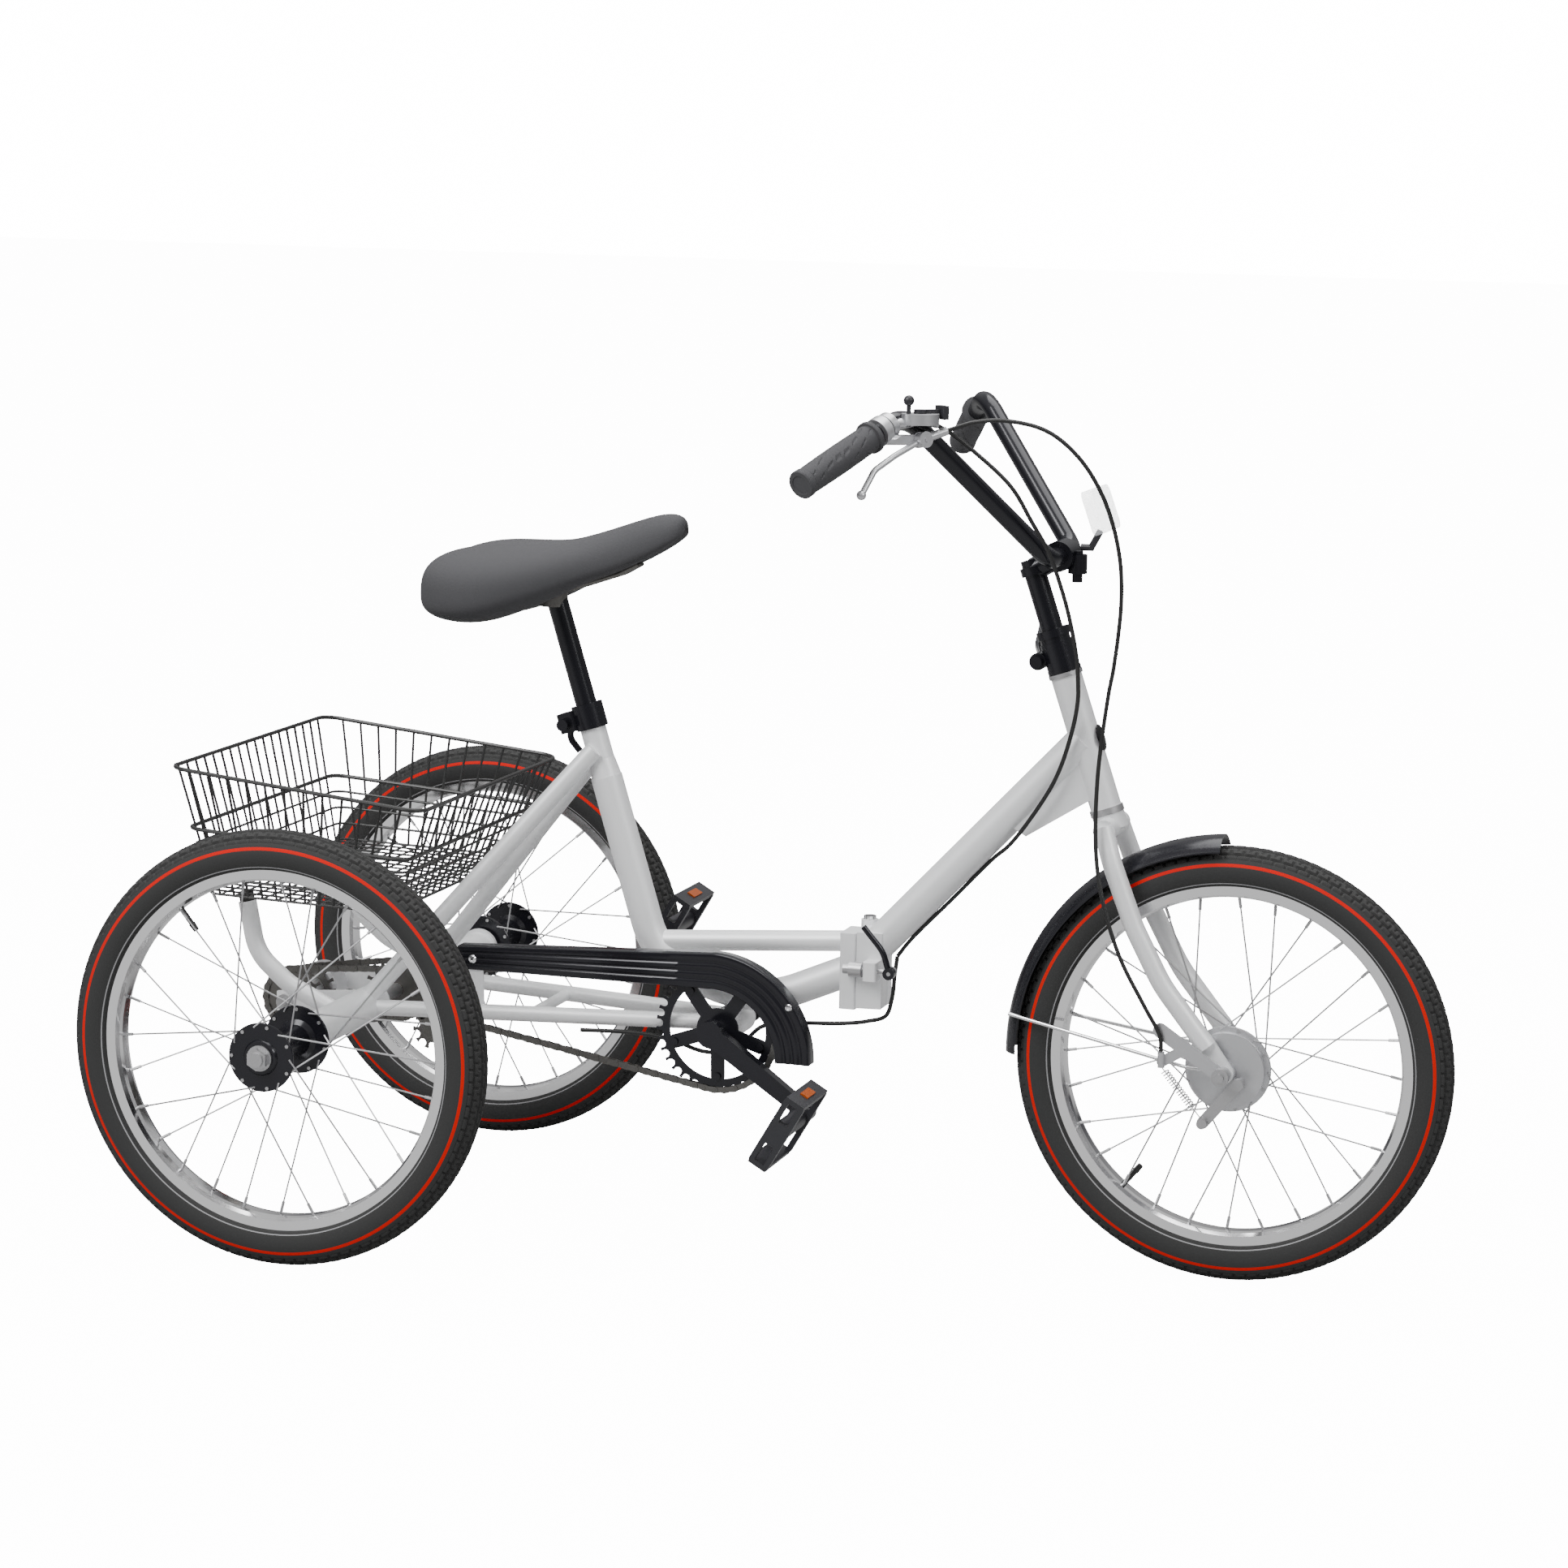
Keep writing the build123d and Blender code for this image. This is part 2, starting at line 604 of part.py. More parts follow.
STAY_R = 11.0
CHAINSTAY_R = 9.5
carriage = []
for side in (-1, 1):
    low, high = sorted((side * AXLE_TUBE_IN, side * AXLE_TUBE_OUT))
    carriage.append(rod((REAR_X, low, WHEEL_R), (REAR_X, high, WHEEL_R), AXLE_TUBE_R))
    carriage.append(ring((REAR_X, 0, WHEEL_R), 10, 25, *sorted((side * (AXLE_TUBE_OUT - 7), side * AXLE_TUBE_OUT))))
    carriage.append(rod((-258, side * 17, 573), (REAR_X, side * 98, WHEEL_R + 4), STAY_R))
    carriage.append(rod((-104, side * 22, 256), (REAR_X, side * 100, WHEEL_R), CHAINSTAY_R))
    carriage.append(tube([(-532, side * 150, 258), (-594, side * 150, 287), (-636, side * 150, 322),
                          (-648, side * 150, 384)], [70, 60], 11.0))
    carriage.append(plate_xz([(REAR_X - 12, WHEEL_R + 13), (REAR_X - 12, WHEEL_R - 15), (HUB[0] - 12, HUB[1] - 12),
                              (HUB[0] - 12, HUB[1] + 12)], *sorted((side * HANGER_IN, side * HANGER_OUT))))
carriage.append(rod((-318, -63, 255), (-318, 63, 255), 7.0))
GUARD_PLATE_Y = -62.0
carriage.append(plate_xz([(-410, 258), (-380, 256), (-382, 320), (-398, 322)], GUARD_PLATE_Y + 2.2, GUARD_PLATE_Y + 5.2))
carriage.append(rod((-395, -80, 256), (-395, GUARD_PLATE_Y + 3, 256), 5.0))
bearing_seats = []
for side in (-1, 1):
    low, high = sorted((side * (AXLE_TUBE_IN - 1), side * (AXLE_TUBE_OUT + 1)))
    bearing_seats.append(rod((REAR_X, low, WHEEL_R), (REAR_X, high, WHEEL_R), 17.0))
    hub_slot_low, hub_slot_high = sorted((side * (HANGER_IN - 1), side * (HANGER_OUT + 1)))
    bearing_seats.append(rod((HUB[0], hub_slot_low, HUB[1]), (HUB[0], hub_slot_high, HUB[1]), HUB_AXLE_R + 0.05))
frame_space = [main_frame, rod(seat_point(1), seat_point(-SEAT_BORE), SEAT_POST_R + 0.15),
               rod((BB[0], -BB_HALF - 1, BB[1]), (BB[0], BB_HALF + 1, BB[1]), BB_SHELL_R)]
save(cut(join(*carriage), *bearing_seats, *frame_space), "rear_carriage")

cups = []
for side in (-1, 1):
    cups.append(ring((BB[0], 0, BB[1]), SPINDLE_R + RUN, 17.15, *sorted((side * 20, side * BB_HALF))))
    cups.append(ring((BB[0], 0, BB[1]), SPINDLE_R + RUN, 20.0, *sorted((side * (BB_HALF + 0.1), side * 37.5))))
    for at in (AXLE_TUBE_IN, AXLE_TUBE_OUT - BEARING_W):
        cups.append(ring((REAR_X, 0, WHEEL_R), AXLE_R + RUN, 16.95, *sorted((side * at, side * (at + BEARING_W)))))
save(group(*cups), "bearing_cups")

# ---- chain tensioner and guard ------------------------------------------------------------------
tension_arm = join(bar_xz(IDLER, (-478, 244), 6, CHAIN_Y + 4.6, CHAIN_Y + 7.6),
                   rod((IDLER[0], CHAIN_Y + 7, IDLER[1]), (IDLER[0], CHAIN_Y - 5, IDLER[1]), IDLER_PIN_R),
                   rod((IDLER[0], CHAIN_Y - 2.2, IDLER[1]), (IDLER[0], CHAIN_Y - 5, IDLER[1]), 6.0),
                   rod((-482, -86, 249), (-482, CHAIN_Y + 7.6, 249), 4.0))
save(cut(tension_arm, *[rod((-104, s * 22, 256), (REAR_X, s * 100, WHEEL_R), CHAINSTAY_R + 0.05) for s in (-1, 1)]),
     "chain_tensioner")

GUARD_C = (-95.0, 222.0)
GUARD_OUT = 125.0
GUARD_IN = 83.0
GUARD_REAR_X = -414.0
GUARD_FACE = (GUARD_PLATE_Y, GUARD_PLATE_Y + 2.0)
with BuildPart() as guard:
    with BuildSketch(Plane.XZ.offset(-GUARD_FACE[1])):
        with Locations(GUARD_C):
            Circle(GUARD_OUT)
            Circle(GUARD_IN, mode=Mode.SUBTRACT)
        with Locations((GUARD_C[0] - 200, GUARD_C[1])):
            Rectangle(400, 400, mode=Mode.SUBTRACT)
        with Locations((GUARD_C[0], GUARD_C[1] - 204)):
            Rectangle(400, 400, mode=Mode.SUBTRACT)
        with BuildLine():
            Polyline((GUARD_C[0] + 1, GUARD_C[1] + GUARD_OUT), (GUARD_REAR_X, 331), (GUARD_REAR_X, 303),
                     (GUARD_C[0] + 1, GUARD_C[1] + GUARD_IN - 1), close=True)
        make_face()
    extrude(amount=GUARD_FACE[1] - GUARD_FACE[0])
    with BuildSketch(Plane.XZ.offset(-(GUARD_FACE[1] + 20))):
        with Locations(GUARD_C):
            Circle(GUARD_OUT)
            Circle(GUARD_OUT - 2, mode=Mode.SUBTRACT)
        with Locations((GUARD_C[0] - 200, GUARD_C[1])):
            Rectangle(400, 400, mode=Mode.SUBTRACT)
        with Locations((GUARD_C[0], GUARD_C[1] - 204)):
            Rectangle(400, 400, mode=Mode.SUBTRACT)
        with BuildLine():
            Polyline((GUARD_C[0] + 1, GUARD_C[1] + GUARD_OUT), (GUARD_REAR_X, 331), (GUARD_REAR_X, 329),
                     (GUARD_C[0] + 1, GUARD_C[1] + GUARD_OUT - 2), close=True)
        make_face()
    extrude(amount=22)
spare_hole = rod((-346, GUARD_PLATE_Y - 1, 311), (-346, GUARD_PLATE_Y + 4, 311), 2.6)
save(cut(guard.part, spare_hole), "chain_guard")

# ---- basket -------------------------------------------------------------------------------------
RIM_REAR, RIM_FRONT = (-716.0, 555.0), (-392.0, 523.0)
FLOOR_REAR, FLOOR_FRONT = (-678.0, 399.0), (-442.0, 393.0)
RIM_Y, FLOOR_Y = 228.0, 200.0


def tub(inset):
    """A tapered tub; the inset shrinks every side, and carries the inside out through the mouth."""
    levels = []
    for (rear, front, half, lift) in ((FLOOR_REAR, FLOOR_FRONT, FLOOR_Y, inset), (RIM_REAR, RIM_FRONT, RIM_Y, 0.4 * inset)):
        a = Vector(rear[0] + inset, 0, rear[1] + lift)
        b = Vector(front[0] - inset, 0, front[1] + lift)
        plane = Plane(origin=(a + b) / 2, x_dir=b - a, z_dir=(b - a).cross(Vector(0, 1, 0)))
        levels.append((plane, (b - a).length, 2 * (half - inset)))
    with BuildPart() as piece:
        for plane, length, width in levels:
            with BuildSketch(plane):
                Rectangle(length, width)
        loft(ruled=True)
    return piece.part


save(cut(tub(0.0), tub(2.5)), "basket")

hoop_lean = unit((-12, 0, 62))
plugs = []
for side in (-1, 1):
    hoop_end = Vector(-648, side * 150, 384)
    plugs.append(rod(hoop_end + hoop_lean * 0.1, hoop_end + hoop_lean * 12.5, 9.0))
save(group(*plugs), "hoop_plugs")

# ---- seat ---------------------------------------------------------------------------------------
collar_low, collar_high = -6.0, 24.0
collar = rod(seat_point(collar_low), seat_point(collar_high), 19.0)
ear_plane = Plane(seat_point(collar_low + 2), x_dir=(-math.cos(math.radians(SEAT_LEAN)), 0, -math.sin(math.radians(SEAT_LEAN))),
                  z_dir=SEAT_UP)
with BuildPart() as ears:
    with BuildSketch(ear_plane):
        with Locations((26, 0)):
            RectangleRounded(24, 24, 5)
    extrude(amount=collar_high - collar_low - 6)
    with BuildSketch(ear_plane.offset(-2)):
        with Locations((26, 0)):
            Rectangle(30, 3)
    extrude(amount=40, mode=Mode.SUBTRACT)
SEAT_QR = Vector(*seat_point(7)) + Vector(-math.cos(math.radians(SEAT_LEAN)), 0, -math.sin(math.radians(SEAT_LEAN))) * 29
collar_cuts = [rod(seat_point(collar_low - 1), seat_point(0.3), SEAT_NECK_R + 0.05),
               rod(seat_point(-10), seat_point(collar_high + 1), SEAT_POST_R + 0.1),
               rod(SEAT_QR + Vector(0, -20, 0), SEAT_QR + Vector(0, 20, 0), 3.05)]
bolt = join(rod(SEAT_QR + Vector(0, -22, 0), SEAT_QR + Vector(0, 16, 0), 3.0),
            rod(SEAT_QR + Vector(0, -22, 0), SEAT_QR + Vector(0, -12.2, 0), 7.0))
save(group(cut(join(collar, ears.part), *collar_cuts), bolt), "seat_clamp")
lever_tip = SEAT_QR + Vector(8, 20, -36)
save(cut(join(rod(SEAT_QR + Vector(0, 12.3, 0), SEAT_QR + Vector(0, 26, 0), 8.0),
              tube([SEAT_QR + Vector(0, 20, 0), SEAT_QR + Vector(-6, 20, -20), lever_tip], [14], 4.0)),
         rod(SEAT_QR + Vector(0, 0, 0), SEAT_QR + Vector(0, 16.1, 0), 3.05)), "seat_lever")

POST_TOP = 168.0
POST_LOW = -130.0
save(rod(seat_point(POST_LOW), seat_point(POST_TOP), SEAT_POST_R, bore=10.5), "seat_post")

SADDLE_SEAT = seat_point(POST_TOP)
clamp = join(rod((SADDLE_SEAT[0], 0, SADDLE_SEAT[2] - 22), (SADDLE_SEAT[0] - 0.1, 0, SADDLE_SEAT[2] + 8), 17.0),
             rod((SADDLE_SEAT[0], -30, SADDLE_SEAT[2] - 2), (SADDLE_SEAT[0], 30, SADDLE_SEAT[2] - 2), 6.0))
rails = [tube([(-210, side * 8, 796), (-232, side * 16, 784), (-290, side * 24, 764), (-360, side * 26, 757),
               (-430, side * 34, 762)], [30, 60, 200], 3.6) for side in (-1, 1)]
post_space = rod(seat_point(POST_TOP - 60), seat_point(POST_TOP + 0.1), SEAT_POST_R + 0.05)
save(cut(join(clamp, *rails), post_space), "saddle_frame")


def saddle_section(x, half, low, high):
    """One cross-section of the saddle, standing across the X axis."""
    with BuildSketch(Plane(origin=(x, 0, (low + high) / 2), x_dir=(0, 1, 0), z_dir=(1, 0, 0))) as section:
        RectangleRounded(2 * half, high - low, min(half, (high - low) / 2) * 0.9)
    return section.sketch


SADDLE_STATIONS = [(-462, 86, 742, 790), (-425, 118, 740, 806), (-370, 122, 744, 816), (-310, 92, 756, 820),
                   (-255, 52, 776, 836), (-205, 36, 802, 852), (-164, 26, 822, 850)]
with BuildPart() as saddle:
    for x, half, low, high in SADDLE_STATIONS:
        with BuildSketch(Plane(origin=(x, 0, (low + high) / 2), x_dir=(0, 1, 0), z_dir=(1, 0, 0))):
            RectangleRounded(2 * half, high - low, (high - low) * 0.42)
    loft(ruled=True)
SADDLE_HOLLOW = [(-470, 70, 730, 766), (-425, 98, 730, 768), (-370, 102, 730, 772), (-310, 74, 730, 778),
                 (-255, 38, 750, 800), (-205, 24, 780, 818), (-180, 18, 800, 826)]
with BuildPart() as hollow:
    for x, half, low, high in SADDLE_HOLLOW:
        with BuildSketch(Plane(origin=(x, 0, (low + high) / 2), x_dir=(0, 1, 0), z_dir=(1, 0, 0))):
            Rectangle(2 * half, high - low)
    loft(ruled=True)
save(cut(saddle.part, hollow.part), "saddle")

# ---- front half of the frame --------------------------------------------------------------------
with BuildPart() as casting:
    with BuildSketch(Plane.XY.offset(HINGE_Z[0] + 2)):
        with BuildLine():
            Polyline((PIN[0] + HINGE_GAP, -26), (PIN[0] + 30, -22), (PIN[0] + 30, PIN[1] - 6),
                     (PIN[0] + 12, PIN[1]), (PIN[0] + HINGE_GAP, PIN[1]), close=True)
        make_face()
    extrude(amount=HINGE_Z[1] - HINGE_Z[0])
    with BuildSketch(Plane.XY.offset(326)):
        with Locations((PIN[0] + 22, -34)):
            RectangleRounded(16, 26, 3)
    extrude(amount=22)
front_knuckles = join(rod((*PIN, HINGE_Z[0]), (*PIN, knuckle_z[0] - 0.5), KNUCKLE_R),
                      rod((*PIN, knuckle_z[1] + 0.5), (*PIN, HINGE_Z[1] + 8), KNUCKLE_R))
main_tube = rod((PIN[0] + 18, 0, 360), (336, 0, 621), MAIN_TUBE_R)
head_tube = rod(head_point(4), head_point(4 + HEAD_TUBE_L), HEAD_TUBE_R)
with BuildPart() as gusset:
    with BuildSketch(Plane.XZ.offset(-13)):
        with BuildLine():
            Polyline((255, 515), (272, 505), (346, 552), (330, 640), (300, 600), close=True)
        make_face()
    extrude(amount=26)
middle_knuckle_space = [
    rod((*PIN, knuckle_z[0] - 0.5), (*PIN, knuckle_z[1] + 0.5), KNUCKLE_R + 0.8),
    rod((*PIN, HINGE_Z[0] - 5), (*PIN, HINGE_Z[1] + 12), PIN_R + RUN),
    rod(head_point(0), head_point(8 + HEAD_TUBE_L), 15.6),
    rod(head_point(-1), head_point(16), 16.5), rod(head_point(HEAD_TUBE_L - 8), head_point(HEAD_TUBE_L + 8), 16.5),
    rod((PIN[0] + 10, -36, 337), (PIN[0] + 40, -36, 337), 3.05),
]
front_body = cut(join(casting.part, main_tube, head_tube, gusset.part), *middle_knuckle_space)
with BuildPart() as behind_hinge:
    with BuildSketch(Plane.YZ.offset(PIN[0] + HINGE_GAP)):
        with Locations((0, 330)):
            Rectangle(200, 200)
    extrude(amount=-40)
knuckle_bore = rod((*PIN, HINGE_Z[0] - 5), (*PIN, HINGE_Z[1] + 12), PIN_R + RUN)
save(join(cut(front_body, behind_hinge.part), cut(front_knuckles, knuckle_bore)), "front_frame")

PIN_TOP = HINGE_Z[1] + 8.3
hinge_pin = join(rod((*PIN, HINGE_Z[0] - 3), (*PIN, PIN_TOP + 1), PIN_R), rod((*PIN, PIN_TOP), (*PIN, PIN_TOP + 4), 7.5),
                 rod((*PIN, HINGE_Z[0] - 3), (*PIN, HINGE_Z[0] - 0.3), 7.5))
save(hinge_pin, "hinge_pin")

QR_Y, QR_Z = -36.0, 337.0
CAM = (PIN[0] + 46, QR_Y, QR_Z)
CAM_PIN_R = 2.5
EYE_OUT = QR_Y - 3.2
# the bolt ends in an eye; a cross pin through it carries the lever outside the eye
hinge_bolt = join(rod((PIN[0] - 12, QR_Y, QR_Z), CAM, 3.0),
                  rod((PIN[0] - 12, QR_Y, QR_Z), (PIN[0] - 5, QR_Y, QR_Z), 6.0),
                  rod((CAM[0], EYE_OUT, CAM[2]), (CAM[0], QR_Y + 3.2, CAM[2]), 6.5),
                  rod((CAM[0], EYE_OUT - 9, CAM[2]), (CAM[0], QR_Y, CAM[2]), CAM_PIN_R))
block = cut(rod((PIN[0] - 4.5, QR_Y, QR_Z), (PIN[0] + 11, QR_Y, QR_Z), 9.0),
            rod((PIN[0] - 12, QR_Y, QR_Z), (PIN[0] + 40, QR_Y, QR_Z), 3.05))
save(group(hinge_bolt, block), "hinge_bolt")
LEVER_Y = EYE_OUT - 5.0
hinge_lever = join(rod((CAM[0], EYE_OUT - 9.5, CAM[2]), (CAM[0], EYE_OUT - 0.3, CAM[2]), 7.0),
                   tube([(CAM[0], LEVER_Y, CAM[2]), (CAM[0] - 8, LEVER_Y - 1, CAM[2] + 26),
                         (CAM[0] - 32, LEVER_Y - 2, CAM[2] + 54)], [40], 3.6))
save(cut(hinge_lever, rod((CAM[0], EYE_OUT - 10, CAM[2]), (CAM[0], EYE_OUT, CAM[2]), CAM_PIN_R + RUN)),
     "hinge_lever")

lower_cup = cut(rod(head_point(-3.5), head_point(4), 20.0), rod(head_point(-5), head_point(6), STEERER_R + RUN))
lower_race = cut(rod(head_point(4.1), head_point(14), 16.4), rod(head_point(-5), head_point(16), STEERER_R + RUN))
top_end = 4 + HEAD_TUBE_L
upper_cup = cut(rod(head_point(top_end), head_point(top_end + 5), 20.0), rod(head_point(top_end - 2), head_point(top_end + 9), STEERER_R + RUN))
upper_race = cut(rod(head_point(top_end - 10), head_point(top_end - 0.1), 16.4), rod(head_point(top_end - 12), head_point(top_end + 9), STEERER_R + RUN))
save(group(lower_cup, lower_race, upper_cup, upper_race), "headset_cups")

# ---- fork ---------------------------------------------------------------------------------------
STEERER_TOP = 214.0
DROPOUT_Y = (49.0, 55.0)
BLADE_Y = 52.0
steerer = rod(head_point(-26), head_point(STEERER_TOP), STEERER_R)
crown = join(rod(head_point(-22), head_point(-3.8), 19.0),
             rod((head_point(-19)[0], -40, head_point(-19)[2]), (head_point(-19)[0], 40, head_point(-19)[2]), 13.0))
blades = []
for side in (-1, 1):
    top = head_point(-19)
    blades.append(tube([(top[0] - 1, side * 38, top[2] + 4), (382, side * 47, 488), (411, side * 51, 417),
                        (446, side * BLADE_Y, 352), (501, side * BLADE_Y, 284)], [120, 150, 170], 11.5))
    blades.append(bar_xz((496, 290), (FRONT_X, WHEEL_R), 11.5, *sorted((side * DROPOUT_Y[0], side * DROPOUT_Y[1]))))
axle_slot = rod((FRONT_X, -80, WHEEL_R), (FRONT_X, 80, WHEEL_R), FRONT_AXLE_R + 0.03)
save(cut(join(steerer, crown, *blades), axle_slot, rod(head_point(-2), head_point(STEERER_TOP + 1), STEERER_BORE)), "fork")

ARM_Y = (-67.0, -64.2)
axle_parts = [rod((FRONT_X, -80, WHEEL_R), (FRONT_X, 72, WHEEL_R), FRONT_AXLE_R)]
for low, high, r in ((-64.0, -55.2, 9.0), (-76.0, -67.2, 10.0), (55.2, 64.0, 10.0), (42.5, 48.8, 9.0)):
    axle_parts.append(ring((FRONT_X, 0, WHEEL_R), FRONT_AXLE_R + 0.03, r, low, high))
save(group(*axle_parts), "front_axle")

STOP = (452.0, 266.0)
ARM_TIP = (449.0, 302.0)
brake_plate = join(ring((FRONT_X, 0, WHEEL_R), FRONT_AXLE_R + 0.03, DRUM_R, -39.5, -35.0),
                   ring((FRONT_X, 0, WHEEL_R), FRONT_AXLE_R + 0.03, 12, -48.9, -39.0))
torque_arm = cut(join(bar_xz((FRONT_X, WHEEL_R), ARM_TIP, 8.5, *ARM_Y), bar_xz((478, 282), STOP, 6.0, *ARM_Y),
                      rod((STOP[0], -69.5, STOP[1] - 6), (STOP[0] - 0.5, -69.5, STOP[1] + 12), 4.0)),
                 rod((FRONT_X, -80, WHEEL_R), (FRONT_X, -60, WHEEL_R), FRONT_AXLE_R + 0.03))
CAM_PIVOT = (539.0, 245.0)
BRAKE_TIP = (500.0, 197.0)
cam_hole = rod((CAM_PIVOT[0], -50, CAM_PIVOT[1]), (CAM_PIVOT[0], -34, CAM_PIVOT[1]), 4.0 + RUN)
save(group(cut(brake_plate, cam_hole), torque_arm), "brake_plate")
brake_arm = join(bar_xz(CAM_PIVOT, BRAKE_TIP, 7.0, -58.0, -54.5),
                 rod((CAM_PIVOT[0], -62, CAM_PIVOT[1]), (CAM_PIVOT[0], -36, CAM_PIVOT[1]), 4.0),
                 rod((CAM_PIVOT[0], -63, CAM_PIVOT[1]), (CAM_PIVOT[0], -58, CAM_PIVOT[1]), 7.0),
                 rod((BRAKE_TIP[0], -66, BRAKE_TIP[1]), (BRAKE_TIP[0], -50, BRAKE_TIP[1]), 6.0))
save(brake_arm, "brake_arm")

# ---- front fender -------------------------------------------------------------------------------
FENDER_R = WHEEL_R + 13
FENDER_HALF = 31.0
fender_plane = Plane(origin=(FRONT_X, 0, WHEEL_R), x_dir=(1, 0, 0), z_dir=(0, 0, 1))
FENDER_FRONT, FENDER_REAR = 94.0, 181.0
with BuildPart() as fender:
    start = Plane(origin=(FRONT_X, 0, WHEEL_R), x_dir=(math.cos(math.radians(FENDER_FRONT)), 0, math.sin(math.radians(FENDER_FRONT))),
                  z_dir=(-math.sin(math.radians(FENDER_FRONT)), 0, math.cos(math.radians(FENDER_FRONT))))
    with BuildSketch(start):
        with BuildLine():
            ThreePointArc((FENDER_R - 16, -FENDER_HALF), (FENDER_R, 0), (FENDER_R - 16, FENDER_HALF))
            Line((FENDER_R - 16, FENDER_HALF), (FENDER_R - 17.5, FENDER_HALF))
            ThreePointArc((FENDER_R - 17.5, FENDER_HALF), (FENDER_R - 2, 0), (FENDER_R - 17.5, -FENDER_HALF))
            Line((FENDER_R - 17.5, -FENDER_HALF), (FENDER_R - 16, -FENDER_HALF))
        make_face()
    revolve(axis=Axis((FRONT_X, 0, WHEEL_R), (0, -1, 0)), revolution_arc=FENDER_REAR - FENDER_FRONT)
crown_room = [rod((head_point(-19)[0], -45, head_point(-19)[2]), (head_point(-19)[0], 45, head_point(-19)[2]), 13.6)]
blade_room = [tube([(head_point(-19)[0] - 1, s * 38, head_point(-19)[2] + 4), (382, s * 47, 488), (411, s * 51, 417),
                    (446, s * BLADE_Y, 352), (501, s * BLADE_Y, 284)], [120, 150, 170], 12.0) for s in (-1, 1)]
bridge = rod((head_point(-24)[0], 0, head_point(-24)[2]), (head_point(-44)[0], 0, head_point(-44)[2]), 3.0)
stays = []
for side in (-1, 1):
    stays.append(tube([(262, side * (FENDER_HALF + 1.6), 299), (482, side * 60, 260), (508, side * 57.5, 258.5)], [20], 2.2))
fender_body = cut(join(fender.part), *crown_room, *blade_room)
save(group(fender_body, *stays), "front_fender")

# ---- stem and handlebar -------------------------------------------------------------------------
ring_low = top_end + 5.3
CLAMP_LOW, CLAMP_HIGH = ring_low + 7, ring_low + 36
CAP_HIGH = CLAMP_HIGH + 15
stem_clamp = join(rod(head_point(ring_low), head_point(ring_low + 5), 19.5),
                  rod(head_point(ring_low + 5), head_point(CLAMP_HIGH), 19.0),
                  rod(head_point(CLAMP_HIGH), head_point(CLAMP_HIGH + 6), 17.5),
                  rod(head_point(CLAMP_HIGH + 6), head_point(CAP_HIGH), 19.5))
with BuildPart() as stem_ear:
    with BuildSketch(Plane(head_point(CLAMP_LOW + 2), x_dir=(0, 1, 0), z_dir=HEAD_UP)):
        with Locations((0, 22)):
            Rectangle(24, 18)
    extrude(amount=22)
# the ear points back along the axis frame: its local Y is square behind the steering axis
STEM_QR = Vector(*head_point(CLAMP_LOW + 13, ahead=-25))
stem_cuts = [rod(head_point(ring_low - 1), head_point(STEERER_TOP + 0.2), STEERER_R + 0.05),
             rod(head_point(STEERER_TOP - 1), head_point(CAP_HIGH + 1), STEM_R + RUN),
             rod(STEM_QR + Vector(0, -25, 0), STEM_QR + Vector(0, 25, 0), 3.05)]
stem_ear_piece = rod(Vector(*head_point(CLAMP_LOW + 13, ahead=-25)) + Vector(0, -11, 0),
                     Vector(*head_point(CLAMP_LOW + 13, ahead=-25)) + Vector(0, 11, 0), 10.0)
ear_web = rod(head_point(CLAMP_LOW + 13, ahead=-14), head_point(CLAMP_LOW + 13, ahead=-24), 9.0)
stem_bolt = join(rod(STEM_QR + Vector(0, -20, 0), STEM_QR + Vector(0, 15, 0), 3.0),
                 rod(STEM_QR + Vector(0, -20, 0), STEM_QR + Vector(0, -11.2, 0), 7.0))
save(group(cut(join(stem_clamp, stem_ear_piece, ear_web), *stem_cuts), stem_bolt), "stem_clamp")
save(cut(join(rod(STEM_QR + Vector(0, 11.3, 0), STEM_QR + Vector(0, 23, 0), 8.0),
              tube([STEM_QR + Vector(0, 18, 0), STEM_QR + Vector(-8, 20, 14), STEM_QR + Vector(-2, 22, 44)], [16], 4.0)),
         rod(STEM_QR, STEM_QR + Vector(0, 15.1, 0), 3.05)), "stem_lever")

BAR_LOW = (301.5, 58.0, 832.0)
BAR_MID = Vector(BAR_LOW[0], 0, BAR_LOW[2])
STEM_TOP = 306.0
STEM_LOW = 130.0
post = rod(head_point(STEM_LOW), head_point(STEM_TOP - 4), STEM_R)
clamp_ring = rod((BAR_MID.X, -21, BAR_MID.Z), (BAR_MID.X, 21, BAR_MID.Z), 17.5)
clamp_neck = rod(head_point(STEM_TOP - 16), (BAR_MID.X - 4, 0, BAR_MID.Z - 2), 13.5)
cap_flange = rod(head_point(STEM_TOP - 22), head_point(STEM_TOP - 12), 16.0)
clamp_bolt = rod((BAR_MID.X + 19, 0, BAR_MID.Z - 30), (BAR_MID.X + 19, 0, BAR_MID.Z + 6), 6.0)
clamp_lug = rod((BAR_MID.X + 19, 0, BAR_MID.Z - 20), (BAR_MID.X + 19, 0, BAR_MID.Z + 2), 11.0)
save(cut(join(post, clamp_ring, clamp_neck, cap_flange, clamp_lug, clamp_bolt),
         rod((BAR_MID.X, -60, BAR_MID.Z), (BAR_MID.X, 60, BAR_MID.Z), BAR_R + 0.05)), "stem_post")

BAR_KNEE = (160.0, 174.0, 998.5)
BAR_END = (91.0, 335.0, 929.5)
GRIP_WAY = {side: unit((BAR_END[0] - BAR_KNEE[0], side * (BAR_END[1] - BAR_KNEE[1]), BAR_END[2] - BAR_KNEE[2]))
            for side in (-1, 1)}


def knee(side):
    return Vector(BAR_KNEE[0], side * BAR_KNEE[1], BAR_KNEE[2])


def bar_point(side, along):
    """A point on the straight grip end of the bar, from the upper bend outwards."""
    return knee(side) + GRIP_WAY[side] * along


